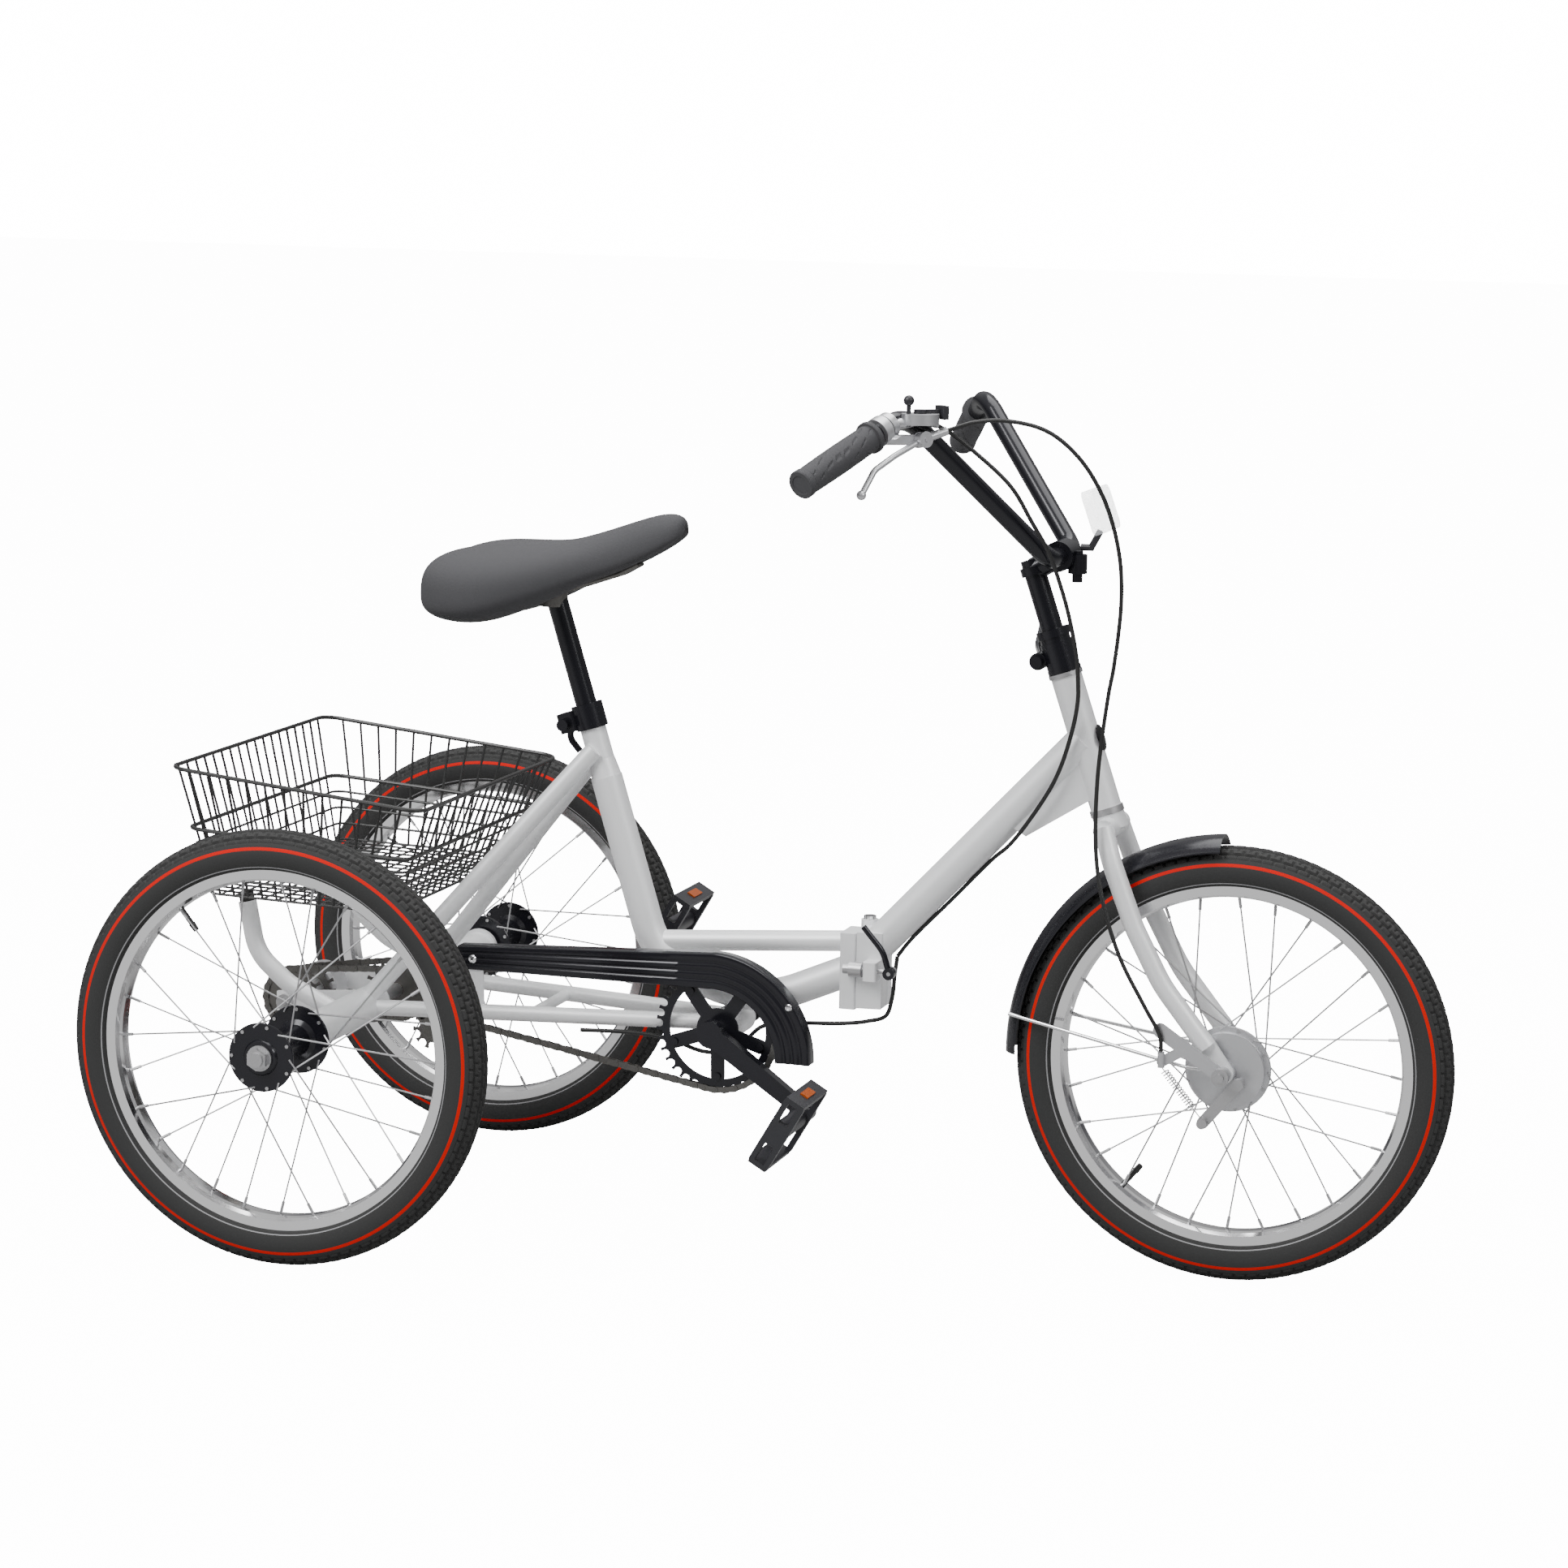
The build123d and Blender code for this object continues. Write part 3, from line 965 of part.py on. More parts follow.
BAR_LENGTH = (Vector(*BAR_END) - Vector(*BAR_KNEE)).length
BEND_R = 38.0
bar_route = [bar_point(-1, BAR_LENGTH - 3), knee(-1), Vector(BAR_LOW[0], -BAR_LOW[1], BAR_LOW[2]),
             Vector(*BAR_LOW), knee(1), bar_point(1, BAR_LENGTH - 3)]
bar_route = [bar_route[0], bar_route[1], bar_route[2], bar_route[3], bar_route[4], bar_route[5]]
save(tube(bar_route, [BEND_R, 30.0, 30.0, BEND_R], BAR_R, bore=BAR_R - 1.6), "handlebar")

GRIP_START = BAR_LENGTH - GRIP_L
grips = []
for side in (-1, 1):
    a, b, c = bar_point(side, GRIP_START), bar_point(side, GRIP_START + 6), bar_point(side, BAR_LENGTH)
    grips.append(cut(join(rod(a, b, GRIP_R + 2), rod(b, c, GRIP_R)),
                     rod(a - GRIP_WAY[side], bar_point(side, BAR_LENGTH - 2.9), BAR_R + 0.05)))
save(group(*grips), "handlebar_grips")

bar_space = tube(bar_route, [BEND_R, 30.0, 30.0, BEND_R], BAR_R + 0.05)

# right-hand controls: the brake lever pivots below the upper bend, the shifter sits above it
OUT = GRIP_WAY[-1]
PIVOT = Vector(184.0, -185.0, 972.0)
LEVER_AXIS = unit((-0.793, 0.598, -0.118))
NOSE_END = Vector(207.0, -167.0, 981.6)
NOSE_WAY = (NOSE_END - PIVOT).normalized()
LEVER_LINE = [PIVOT, Vector(162, -217.5, 955.5), Vector(146, -240, 940.5), Vector(137, -258, 914.5)]
ring_mid = bar_point(-1, 46)
bracket_ring = rod(bar_point(-1, 40), bar_point(-1, 52), 16.5)
bracket_bar = rod(ring_mid + Vector(7, 0, -9), PIVOT, 6.0)
bracket_head = rod(PIVOT - LEVER_AXIS * 8.5, PIVOT + LEVER_AXIS * 8.5, 9.0)
bracket_nose = rod(PIVOT, NOSE_END, 5.0)
lever_way = (LEVER_LINE[1] - LEVER_LINE[0]).normalized()
with BuildPart() as lever_slot:
    with BuildSketch(Plane(PIVOT - LEVER_AXIS * 4.3, x_dir=lever_way, z_dir=LEVER_AXIS)):
        with Locations((30, 0)):
            Rectangle(60, 30)
        Circle(9.6)
    extrude(amount=8.6)
pivot_hole = rod(PIVOT - LEVER_AXIS * 12, PIVOT + LEVER_AXIS * 12, 2.5 + RUN)
save(cut(join(bracket_ring, bracket_bar, bracket_head, bracket_nose), lever_slot.part, pivot_hole, bar_space),
     "brake_bracket")
lever_tip_end = LEVER_LINE[-1]
save(join(tube(LEVER_LINE, [60, 18], 3.6), rod(PIVOT - LEVER_AXIS * 4.0, PIVOT + LEVER_AXIS * 4.0, 8.0),
          rod(PIVOT - LEVER_AXIS * 10, PIVOT + LEVER_AXIS * 10, 2.5),
          Sphere(5.5).moved(Location(lever_tip_end))), "brake_lever")

SHIFT_C = Vector(182.0, -187.0, 995.0)
BARREL_END = Vector(193.0, -160.0, 987.0)
BARREL_WAY = unit((0.25, 0.95, -0.19))
UP = Vector(0, 0, 1)
KNOB = SHIFT_C + Vector(-11.0, -9.0, 0)
shift_body = join(rod(SHIFT_C - UP * 6, SHIFT_C + UP * 6, 21.0), rod(bar_point(-1, 28), bar_point(-1, 37), 15.0),
                  rod(bar_point(-1, 32.5), SHIFT_C + UP * -1, 6.0), rod(BARREL_END - BARREL_WAY * 20, BARREL_END, 3.8))
bracket_space = [rod(ring_mid + Vector(7, 0, -9), PIVOT, 6.3),
                 rod(PIVOT - LEVER_AXIS * 11, PIVOT + LEVER_AXIS * 11, 9.6), rod(PIVOT, NOSE_END, 5.5)]
save(cut(shift_body, bar_space, *bracket_space, rod(SHIFT_C - UP * 9, SHIFT_C + UP * 9, 3.0 + RUN), rod(KNOB - UP * 9, KNOB + UP * 9, 2.5 + RUN)),
     "shifter")
block_way = unit((0.75, 0.66, 0))
with BuildPart() as paddle_arm:
    with BuildSketch(Plane(SHIFT_C + UP * 6.4, x_dir=block_way, z_dir=UP)):
        Circle(7.5)
        with Locations((14, 0)):
            Rectangle(26, 8)
    extrude(amount=4)
with BuildPart() as paddle_block:
    with BuildSketch(Plane(SHIFT_C + UP * -0.5, x_dir=block_way, z_dir=UP)):
        with Locations((26.5, 0)):
            RectangleRounded(8, 22, 2)
    extrude(amount=15)
save(join(paddle_arm.part, paddle_block.part, rod(SHIFT_C - UP * 5.5, SHIFT_C + UP * 9, 3.0)), "shift_paddle")
save(join(rod(KNOB - UP * 1, KNOB + UP * 18, 2.5), Sphere(6.0).moved(Location(KNOB + UP * 20.5))), "lock_knob")

with BuildPart() as reflector:
    face_plane = Plane(origin=(340, 0, 884), x_dir=(0, 1, 0), z_dir=unit((0.94, 0, 0.34)))
    with BuildSketch(face_plane):
        RectangleRounded(92, 52, 10)
    extrude(amount=12, both=False)
reflector_arm = join(rod((BAR_MID.X + 33, 0, BAR_MID.Z + 8), (346, 0, 862), 4.0),
                     rod((BAR_MID.X + 22.5, 0, BAR_MID.Z + 10.4), (BAR_MID.X + 34, 0, BAR_MID.Z + 10.4), 4.0))
save(group(reflector.part, cut(reflector_arm, reflector.part)), "front_reflector")

# ---- cables -------------------------------------------------------------------------------------
CABLE_R = 2.5


def bends_for(points, share=0.45):
    """The largest arc at each corner that its two runs allow."""
    radii = []
    for before, at, after in zip(points, points[1:], points[2:]):
        a, b = Vector(*at) - Vector(*before), Vector(*after) - Vector(*at)
        half = math.radians(a.get_angle(b)) / 2
        radii.append(share * min(a.length, b.length) / math.tan(half))
    return radii


def cable(points, name):
    radii = bends_for(points)
    piece = tube(points, radii, CABLE_R)
    length = sum(edge.length for edge in path_of(points, radii).edges())
    print(name, "length", round(length), "radii", [round(r) for r in radii],
          "volume check", round(piece.volume / (length * math.pi * CABLE_R**2), 3))
    save(piece, name)


brake_route = [tuple(NOSE_END + NOSE_WAY * 0.8), (234, -152, 990.9), (265.5, -130, 992.5), (306, -106, 981), (339, -86, 951),
               (365, -70, 905), (381, -58, 846), (384, -50, 790), (377, -45, 715), (371, -45, 677), (363.5, -52, 585),
               (367.5, -66, 503), (379, -75, 449), (402, -79, 386), (432, -77, 331), (450, -71, 296), (451.4, -69.5, 278.4)]
cable(brake_route, "brake_cable")
bar_shift_route = [tuple(BARREL_END + BARREL_WAY * 1.2), (206, -144, 977), (229, -130, 957), (268.6, -114, 918), (290, -97, 877),
                   (306, -83, 844), (317.5, -71, 807), (326, -58, 769), (333, -45, 722), (334, -39, 699)]
cable(bar_shift_route, "bar_shift_cable")
front_shift_route = [(334, -38.8, 698.4), (333.5, -34, 670), (326, -30, 630), (308.5, -28, 577), (273, -22, 519),
                     (250, -12, 491), (232, 0, 475.6), (132, 0, 368.3), (118, -2, 351)]
cable(front_shift_route, "front_shift_cable")
rear_shift_route = [(117.8, -2, 346), (115.5, -2, 326), (113, -3, 298), (106, -4, 277), (84, -5, 269), (50, -8, 264), (6, -14, 262), (-40, -22, 256),
                    (-72, -30, 226), (-108, -35, 222), (-150, -38, 234), (-190, -46, 240), (-256, -60, 241)]
cable(rear_shift_route, "rear_shift_cable")
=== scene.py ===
"""Looks for the folding adult tricycle: metres, +X forward, +Y left, +Z up, floor at z = 0."""
import json
import math

import bpy
import numpy as np
from mathutils import Matrix, Vector

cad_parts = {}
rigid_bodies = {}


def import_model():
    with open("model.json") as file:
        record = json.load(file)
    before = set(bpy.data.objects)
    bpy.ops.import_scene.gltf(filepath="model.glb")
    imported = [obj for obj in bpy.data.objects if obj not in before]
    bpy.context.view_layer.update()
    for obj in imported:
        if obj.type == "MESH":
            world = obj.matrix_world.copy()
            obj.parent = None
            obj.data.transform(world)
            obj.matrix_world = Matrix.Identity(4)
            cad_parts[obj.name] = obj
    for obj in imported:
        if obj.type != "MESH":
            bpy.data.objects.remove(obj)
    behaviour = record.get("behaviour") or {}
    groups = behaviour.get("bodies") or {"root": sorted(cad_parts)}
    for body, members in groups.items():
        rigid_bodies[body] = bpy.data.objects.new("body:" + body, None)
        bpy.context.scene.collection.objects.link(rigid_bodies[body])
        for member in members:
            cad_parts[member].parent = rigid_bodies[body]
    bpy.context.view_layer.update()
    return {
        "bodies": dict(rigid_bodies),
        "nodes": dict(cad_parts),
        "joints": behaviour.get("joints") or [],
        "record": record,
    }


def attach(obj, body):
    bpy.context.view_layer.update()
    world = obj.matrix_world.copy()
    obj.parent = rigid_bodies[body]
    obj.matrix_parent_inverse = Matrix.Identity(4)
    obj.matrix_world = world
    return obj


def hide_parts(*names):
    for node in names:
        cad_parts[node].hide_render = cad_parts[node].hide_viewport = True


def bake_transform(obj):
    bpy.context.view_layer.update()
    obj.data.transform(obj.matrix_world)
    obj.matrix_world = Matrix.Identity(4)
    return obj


bl_info = {
    "name": "Folding tricycle looks",
    "version": (1, 0, 0),
    "blender": (4, 5, 0),
    "location": "View3D > Sidebar > Tricycle",
    "description": "Detailed pieces and finishes around the tricycle's packed frame",
    "category": "Object",
}

MM = 0.001
AXLE_Z = 0.255
REAR_X, FRONT_X = -0.521, 0.521
HALF_TRACK = 0.338

# Drive centres as (x, z): bottom bracket, gear hub and idler.
BB = (-0.0875, 0.253)
HUB = (-0.634, 0.246)
IDLER = (-0.452, 0.222)
PRIMARY_Y, SECONDARY_Y = -0.048, 0.006
CRANK, CRANK_ANGLE = 0.145, math.radians(-35)
PEDAL_Y, PEDAL_TILT = 0.143, math.radians(30)

# Roller chain: pitch, and the rounded end and thickness of a side plate.
PITCH = 0.0127
PLATE_R, PLATE_THICK = 0.0042, 0.0009

HEAD_FOOT, HEAD_LEAN = (0.3639, 0.540), math.radians(19.0)
SPOKES_A_SIDE, SPOKE_END_R = 14, 0.1957
VALVE_ANGLES = {"right": 128.6, "left": 77.1, "front": 231.4}
HOUSING_R = 0.0025
WHEELS = (("right", REAR_X, -HALF_TRACK, "driven_axle"), ("left", REAR_X, HALF_TRACK, "wheel_left"),
          ("front", FRONT_X, 0.0, "wheel_front"))


# ---- mesh helpers -------------------------------------------------------------------------------
def link(obj):
    bpy.context.scene.collection.objects.link(obj)
    return obj


def mesh_object(name, verts, faces, materials, smooth=True, indices=None):
    mesh = bpy.data.meshes.new(name)
    mesh.from_pydata([tuple(v) for v in verts], [], [tuple(f) for f in faces])
    for material in materials:
        mesh.materials.append(material)
    if indices is not None:
        mesh.polygons.foreach_set("material_index", indices)
    if smooth:
        mesh.polygons.foreach_set("use_smooth", [True] * len(mesh.polygons))
    mesh.update()
    return link(bpy.data.objects.new(name, mesh))


def discard(obj):
    mesh = obj.data
    bpy.data.objects.remove(obj)
    bpy.data.meshes.remove(mesh)


def sharpen(obj, angle=35.0):
    """Marks edges steeper than angle as sharp, so flat caps stay flat under smooth shading."""
    obj.data.set_sharp_from_angle(angle=math.radians(angle))
    return obj


def joined(name, pieces):
    """Several mesh objects made into one."""
    verts, faces, indices, materials = [], [], [], []
    for piece in pieces:
        base = len(verts)
        slots = []
        for material in piece.data.materials:
            if material not in materials:
                materials.append(material)
            slots.append(materials.index(material))
        verts += [piece.matrix_world @ v.co for v in piece.data.vertices]
        for polygon in piece.data.polygons:
            faces.append([base + v for v in polygon.vertices])
            indices.append(slots[polygon.material_index] if slots else 0)
    obj = mesh_object(name, verts, faces, materials, indices=indices)
    for piece in pieces:
        discard(piece)
    return sharpen(obj)


def grid_faces(rows, columns, close_rows=False, close_columns=False):
    """Quads over a grid of vertices, wrapped round where asked."""
    faces = []
    for r in range(rows if close_rows else rows - 1):
        for c in range(columns if close_columns else columns - 1):
            a, b = r * columns + c, r * columns + (c + 1) % columns
            d, e = (r + 1) % rows * columns + c, (r + 1) % rows * columns + (c + 1) % columns
            faces.append((a, b, e, d))
    return faces


def turned(name, outline, centre, material, segments=96, axis=(0, 1, 0), closed=True):
    """A solid of revolution: outline is (radius, distance along axis); it runs so the surface faces out."""
    axis = Vector(axis).normalized()
    side = axis.orthogonal().normalized()
    other = axis.cross(side)
    verts = []
    for n in range(segments):
        a = 2 * math.pi * n / segments
        way = side * math.cos(a) + other * math.sin(a)
        verts += [Vector(centre) + way * r + axis * h for r, h in outline]
    faces = grid_faces(segments, len(outline), True, closed)
    obj = mesh_object(name, verts, faces, [material])
    return faced_out(obj)


def faced_out(obj):
    """Turns every face of a closed surface outwards."""
    mesh = obj.data
    volume = 0.0
    for polygon in mesh.polygons:
        corners = [mesh.vertices[v].co for v in polygon.vertices]
        for b, c in zip(corners[1:], corners[2:]):
            volume += corners[0].dot(b.cross(c))
    if volume < 0:
        mesh.flip_normals()
    return sharpen(obj)


def rod(name, start, end, radius, material, sides=16, end_radius=None):
    start, end = Vector(start), Vector(end)
    length = (end - start).length
    tip = radius if end_radius is None else end_radius
    return turned(name, [(0.0, 0.0), (radius, 0.0), (tip, length), (0.0, length)], start, material, sides,
                  end - start, False)


def smooth_path(points, step=0.004):
    """An even line through the points: a centripetal spline."""
    p = [Vector(v) for v in points]
    p = [p[0] * 2 - p[1]] + p + [p[-1] * 2 - p[-2]]
    dense = []
    for i in range(1, len(p) - 2):
        t = [0.0]
        for a, b in zip(p[i - 1:i + 2], p[i:i + 3]):
            t.append(t[-1] + max((b - a).length, 1e-6) ** 0.5)
        for k in range(24):
            u = t[1] + (t[2] - t[1]) * k / 24
            a = [p[i - 1 + n] * ((t[n + 1] - u) / (t[n + 1] - t[n]))
                 + p[i + n] * ((u - t[n]) / (t[n + 1] - t[n])) for n in range(3)]
            b = [a[n] * ((t[n + 2] - u) / (t[n + 2] - t[n])) + a[n + 1] * ((u - t[n]) / (t[n + 2] - t[n]))
                 for n in range(2)]
            dense.append(b[0] * ((t[2] - u) / (t[2] - t[1])) + b[1] * ((u - t[1]) / (t[2] - t[1])))
    dense.append(p[-2])
    line, carried = [dense[0]], 0.0
    for a, b in zip(dense, dense[1:]):
        carried += (b - a).length
        if carried >= step:
            line.append(b)
            carried = 0.0
    if (line[-1] - dense[-1]).length > step / 4:
        line.append(dense[-1])
    return line


def swept(name, line, radius, material, sides=12):
    """A round tube along a line, capped at both ends."""
    verts, frame_up = [], None
    for n, point in enumerate(line):
        way = (line[min(n + 1, len(line) - 1)] - line[max(n - 1, 0)]).normalized()
        if frame_up is None:
            frame_up = way.orthogonal().normalized()
        frame_up = (frame_up - way * frame_up.dot(way)).normalized()
        right = way.cross(frame_up)
        for k in range(sides):
            a = 2 * math.pi * k / sides
            verts.append(point + frame_up * (radius * math.cos(a)) + right * (radius * math.sin(a)))
    faces = grid_faces(len(line), sides, False, True)
    faces += [tuple(range(sides - 1, -1, -1)), tuple(range((len(line) - 1) * sides, len(line) * sides))]
    return faced_out(mesh_object(name, verts, faces, [material]))


def plain(obj):
    """Replaces an object that carries modifiers with its evaluated mesh."""
    graph = bpy.context.evaluated_depsgraph_get()
    mesh = bpy.data.meshes.new_from_object(obj.evaluated_get(graph))
    obj.modifiers.clear()
    obj.data = mesh
    mesh.polygons.foreach_set("use_smooth", [True] * len(mesh.polygons))
    return sharpen(obj)


# ---- geometry node trees ------------------------------------------------------------------------
def new_tree(name, inputs):
    tree = bpy.data.node_groups.new(name, "GeometryNodeTree")
    tree.interface.new_socket("Geometry", in_out="INPUT", socket_type="NodeSocketGeometry")
    for label, kind in inputs:
        tree.interface.new_socket(label, in_out="INPUT", socket_type=kind)
    tree.interface.new_socket("Geometry", in_out="OUTPUT", socket_type="NodeSocketGeometry")
    return tree


def run_tree(obj, tree, **values):
    modifier = obj.modifiers.new("build", "NODES")
    modifier.node_group = tree
    for item in tree.interface.items_tree:
        if item.item_type == "SOCKET" and item.in_out == "INPUT" and item.name in values:
            modifier[item.identifier] = values[item.name]
    bpy.context.view_layer.update()
    return plain(obj)


def wire_tree():
    """Edges become round wires of a given radius."""
    tree = new_tree("Wires", [("Radius", "NodeSocketFloat"), ("Finish", "NodeSocketMaterial")])
    nodes, links = tree.nodes, tree.links
    start, end = nodes.new("NodeGroupInput"), nodes.new("NodeGroupOutput")
    to_curve = nodes.new("GeometryNodeMeshToCurve")
    to_mesh = nodes.new("GeometryNodeCurveToMesh")
    circle = nodes.new("GeometryNodeCurvePrimitiveCircle")
    finish = nodes.new("GeometryNodeSetMaterial")
    circle.inputs["Resolution"].default_value = 8
    to_mesh.inputs["Fill Caps"].default_value = True
    links.new(start.outputs["Geometry"], to_curve.inputs["Mesh"])
    links.new(to_curve.outputs["Curve"], to_mesh.inputs["Curve"])
    links.new(start.outputs["Radius"], circle.inputs["Radius"])
    links.new(circle.outputs["Curve"], to_mesh.inputs["Profile Curve"])
    links.new(to_mesh.outputs["Mesh"], finish.inputs["Geometry"])
    links.new(start.outputs["Finish"], finish.inputs["Material"])
    links.new(finish.outputs["Geometry"], end.inputs["Geometry"])
    return tree


def scatter_tree():
    """One piece set on every point, turned about the cross axle by the point's own angle."""
    tree = new_tree("Set on points", [("Piece", "NodeSocketObject"), ("Finish", "NodeSocketMaterial")])
    nodes, links = tree.nodes, tree.links
    start, end = nodes.new("NodeGroupInput"), nodes.new("NodeGroupOutput")
    info = nodes.new("GeometryNodeObjectInfo")
    place = nodes.new("GeometryNodeInstanceOnPoints")
    angle = nodes.new("GeometryNodeInputNamedAttribute")
    angle.data_type = "FLOAT_VECTOR"
    angle.inputs["Name"].default_value = "turn"
    real = nodes.new("GeometryNodeRealizeInstances")
    finish = nodes.new("GeometryNodeSetMaterial")
    links.new(start.outputs["Geometry"], place.inputs["Points"])
    links.new(start.outputs["Piece"], info.inputs["Object"])
    links.new(info.outputs["Geometry"], place.inputs["Instance"])
    links.new(angle.outputs["Attribute"], place.inputs["Rotation"])
    links.new(place.outputs["Instances"], real.inputs["Geometry"])
    links.new(real.outputs["Geometry"], finish.inputs["Geometry"])
    links.new(start.outputs["Finish"], finish.inputs["Material"])
    links.new(finish.outputs["Geometry"], end.inputs["Geometry"])
    return tree


def wires(name, lines, radius, material):
    """Round wires along polylines. A line that ends where it starts is a closed ring."""
    verts, edges = [], []
    for line in lines:
        base = len(verts)
        ring = (Vector(line[0]) - Vector(line[-1])).length < 1e-6
        verts += [tuple(v) for v in (line[:-1] if ring else line)]
        edges += [(n, n + 1) for n in range(base, len(verts) - 1)]
        if ring:
            edges.append((len(verts) - 1, base))
    mesh = bpy.data.meshes.new(name)
    mesh.from_pydata(verts, edges, [])
    obj = link(bpy.data.objects.new(name, mesh))
    tree = bpy.data.node_groups.get("Wires") or wire_tree()
    return run_tree(obj, tree, Radius=radius, Finish=material)


def scattered(name, places, turns, piece, material):
    mesh = bpy.data.meshes.new(name)
    mesh.from_pydata([tuple(p) for p in places], [], [])
    attribute = mesh.attributes.new("turn", "FLOAT_VECTOR", "POINT")
    attribute.data.foreach_set("vector", [x for turn in turns for x in turn])
    obj = link(bpy.data.objects.new(name, mesh))
    tree = bpy.data.node_groups.get("Set on points") or scatter_tree()
    run_tree(obj, tree, Piece=piece, Finish=material)
    discard(piece)
    return obj


# ---- finishes -----------------------------------------------------------------------------------
def grain_group():
    """Fine unevenness shared by most finishes: a varying roughness and a little relief."""
    tree = bpy.data.node_groups.new("Fine grain", "ShaderNodeTree")
    for label, value in (("Scale", 400.0), ("Relief", 0.1), ("Roughness", 0.4), ("Spread", 0.06)):
        socket = tree.interface.new_socket(label, in_out="INPUT", socket_type="NodeSocketFloat")
        socket.default_value = value
    tree.interface.new_socket("Roughness", in_out="OUTPUT", socket_type="NodeSocketFloat")
    tree.interface.new_socket("Normal", in_out="OUTPUT", socket_type="NodeSocketVector")
    nodes, links = tree.nodes, tree.links
    start, end = nodes.new("NodeGroupInput"), nodes.new("NodeGroupOutput")
    place = nodes.new("ShaderNodeTexCoord")
    noise = nodes.new("ShaderNodeTexNoise")
    noise.inputs["Detail"].default_value = 4.0
    broad = nodes.new("ShaderNodeTexNoise")
    broad.inputs["Scale"].default_value = 14.0
    centred = nodes.new("ShaderNodeMath")
    centred.operation = "SUBTRACT"
    centred.inputs[1].default_value = 0.5
    spread = nodes.new("ShaderNodeMath")
    spread.operation = "MULTIPLY_ADD"
    bump = nodes.new("ShaderNodeBump")
    bump.inputs["Distance"].default_value = 0.0004
    links.new(place.outputs["Object"], noise.inputs["Vector"])
    links.new(place.outputs["Object"], broad.inputs["Vector"])
    links.new(start.outputs["Scale"], noise.inputs["Scale"])
    links.new(broad.outputs["Fac"], centred.inputs[0])
    links.new(centred.outputs["Value"], spread.inputs[0])
    links.new(start.outputs["Spread"], spread.inputs[1])
    links.new(start.outputs["Roughness"], spread.inputs[2])
    links.new(noise.outputs["Fac"], bump.inputs["Height"])
    links.new(start.outputs["Relief"], bump.inputs["Strength"])
    links.new(spread.outputs["Value"], end.inputs["Roughness"])
    links.new(bump.outputs["Normal"], end.inputs["Normal"])
    return tree


def finish(name, colour, metallic=0.0, roughness=0.4, coat=0.0, scale=400.0, relief=0.05, spread=0.05,
           specular=0.5):
    material = bpy.data.materials.new(name)
    material.use_nodes = True
    nodes, links = material.node_tree.nodes, material.node_tree.links
    shader = nodes["Principled BSDF"]
    shader.inputs["Base Color"].default_value = (*colour, 1.0)
    shader.inputs["Metallic"].default_value = metallic
    shader.inputs["Roughness"].default_value = roughness
    shader.inputs["Coat Weight"].default_value = coat
    shader.inputs["Coat Roughness"].default_value = 0.06
    shader.inputs["Specular IOR Level"].default_value = specular
    grain = nodes.new("ShaderNodeGroup")
    grain.node_tree = bpy.data.node_groups.get("Fine grain") or grain_group()
    grain.inputs["Scale"].default_value = scale
    grain.inputs["Relief"].default_value = relief
    grain.inputs["Roughness"].default_value = roughness
    grain.inputs["Spread"].default_value = spread
    links.new(grain.outputs["Roughness"], shader.inputs["Roughness"])
    links.new(grain.outputs["Normal"], shader.inputs["Normal"])
    return material


FINISHES = {
    "frame_white": dict(colour=(0.84, 0.845, 0.86), roughness=0.28, coat=0.3, relief=0.01, spread=0.05),
    "gloss_black": dict(colour=(0.0012, 0.0012, 0.0014), roughness=0.1, relief=0.01, specular=0.22),
    "satin_black": dict(colour=(0.002, 0.002, 0.002), roughness=0.35, relief=0.03, specular=0.1),
    "chrome": dict(colour=(0.4, 0.41, 0.43), metallic=1.0, roughness=0.12, relief=0.01),
    "alloy": dict(colour=(0.14, 0.142, 0.147), metallic=1.0, roughness=0.3, relief=0.05),
    "steel": dict(colour=(0.13, 0.13, 0.135), metallic=1.0, roughness=0.25, relief=0.03),
    "dark_steel": dict(colour=(0.01, 0.0095, 0.009), metallic=0.5, roughness=0.32, relief=0.08, specular=0.3),
    "tyre": dict(colour=(0.0016, 0.0016, 0.0017), roughness=0.6, relief=0.25, scale=900.0, specular=0.03),
    "vinyl": dict(colour=(0.0045, 0.0046, 0.005), roughness=0.38, relief=0.2, scale=1400.0, specular=0.12),
    "black_plastic": dict(colour=(0.002, 0.002, 0.0022), roughness=0.36, relief=0.1, scale=900.0,
                          specular=0.15),
    "cable_black": dict(colour=(0.0012, 0.0012, 0.0013), roughness=0.3, relief=0.02, specular=0.12),
    "clear_plastic": dict(colour=(0.2, 0.205, 0.21), roughness=0.12, relief=0.3, scale=260.0, metallic=0.7),
    "line_red": dict(colour=(0.62, 0.006, 0.004), roughness=0.55, relief=0.05, specular=0.05),
    "line_white": dict(colour=(0.3, 0.3, 0.31), roughness=0.6, relief=0.05, specular=0.1),
    "amber": dict(colour=(0.35, 0.06, 0.001), roughness=0.2, relief=0.2, scale=300.0, specular=0.3),
    "badge": dict(colour=(0.002, 0.002, 0.0025), roughness=0.2, relief=0.01, specular=0.3),
}


def look(name):
    return bpy.data.materials.get(name) or finish(name, **FINISHES[name])


def settle(obj, body, slot_name, *nodes):
    """Hangs a finished piece on its body and hides the solids it stands for; slot_name is not used."""
    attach(obj, body)
    if nodes:
        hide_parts(*nodes)
    return obj


# ---- chain line ---------------------------------------------------------------------------------
def pitch_radius(teeth):
    return PITCH / 2 / math.sin(math.pi / teeth)


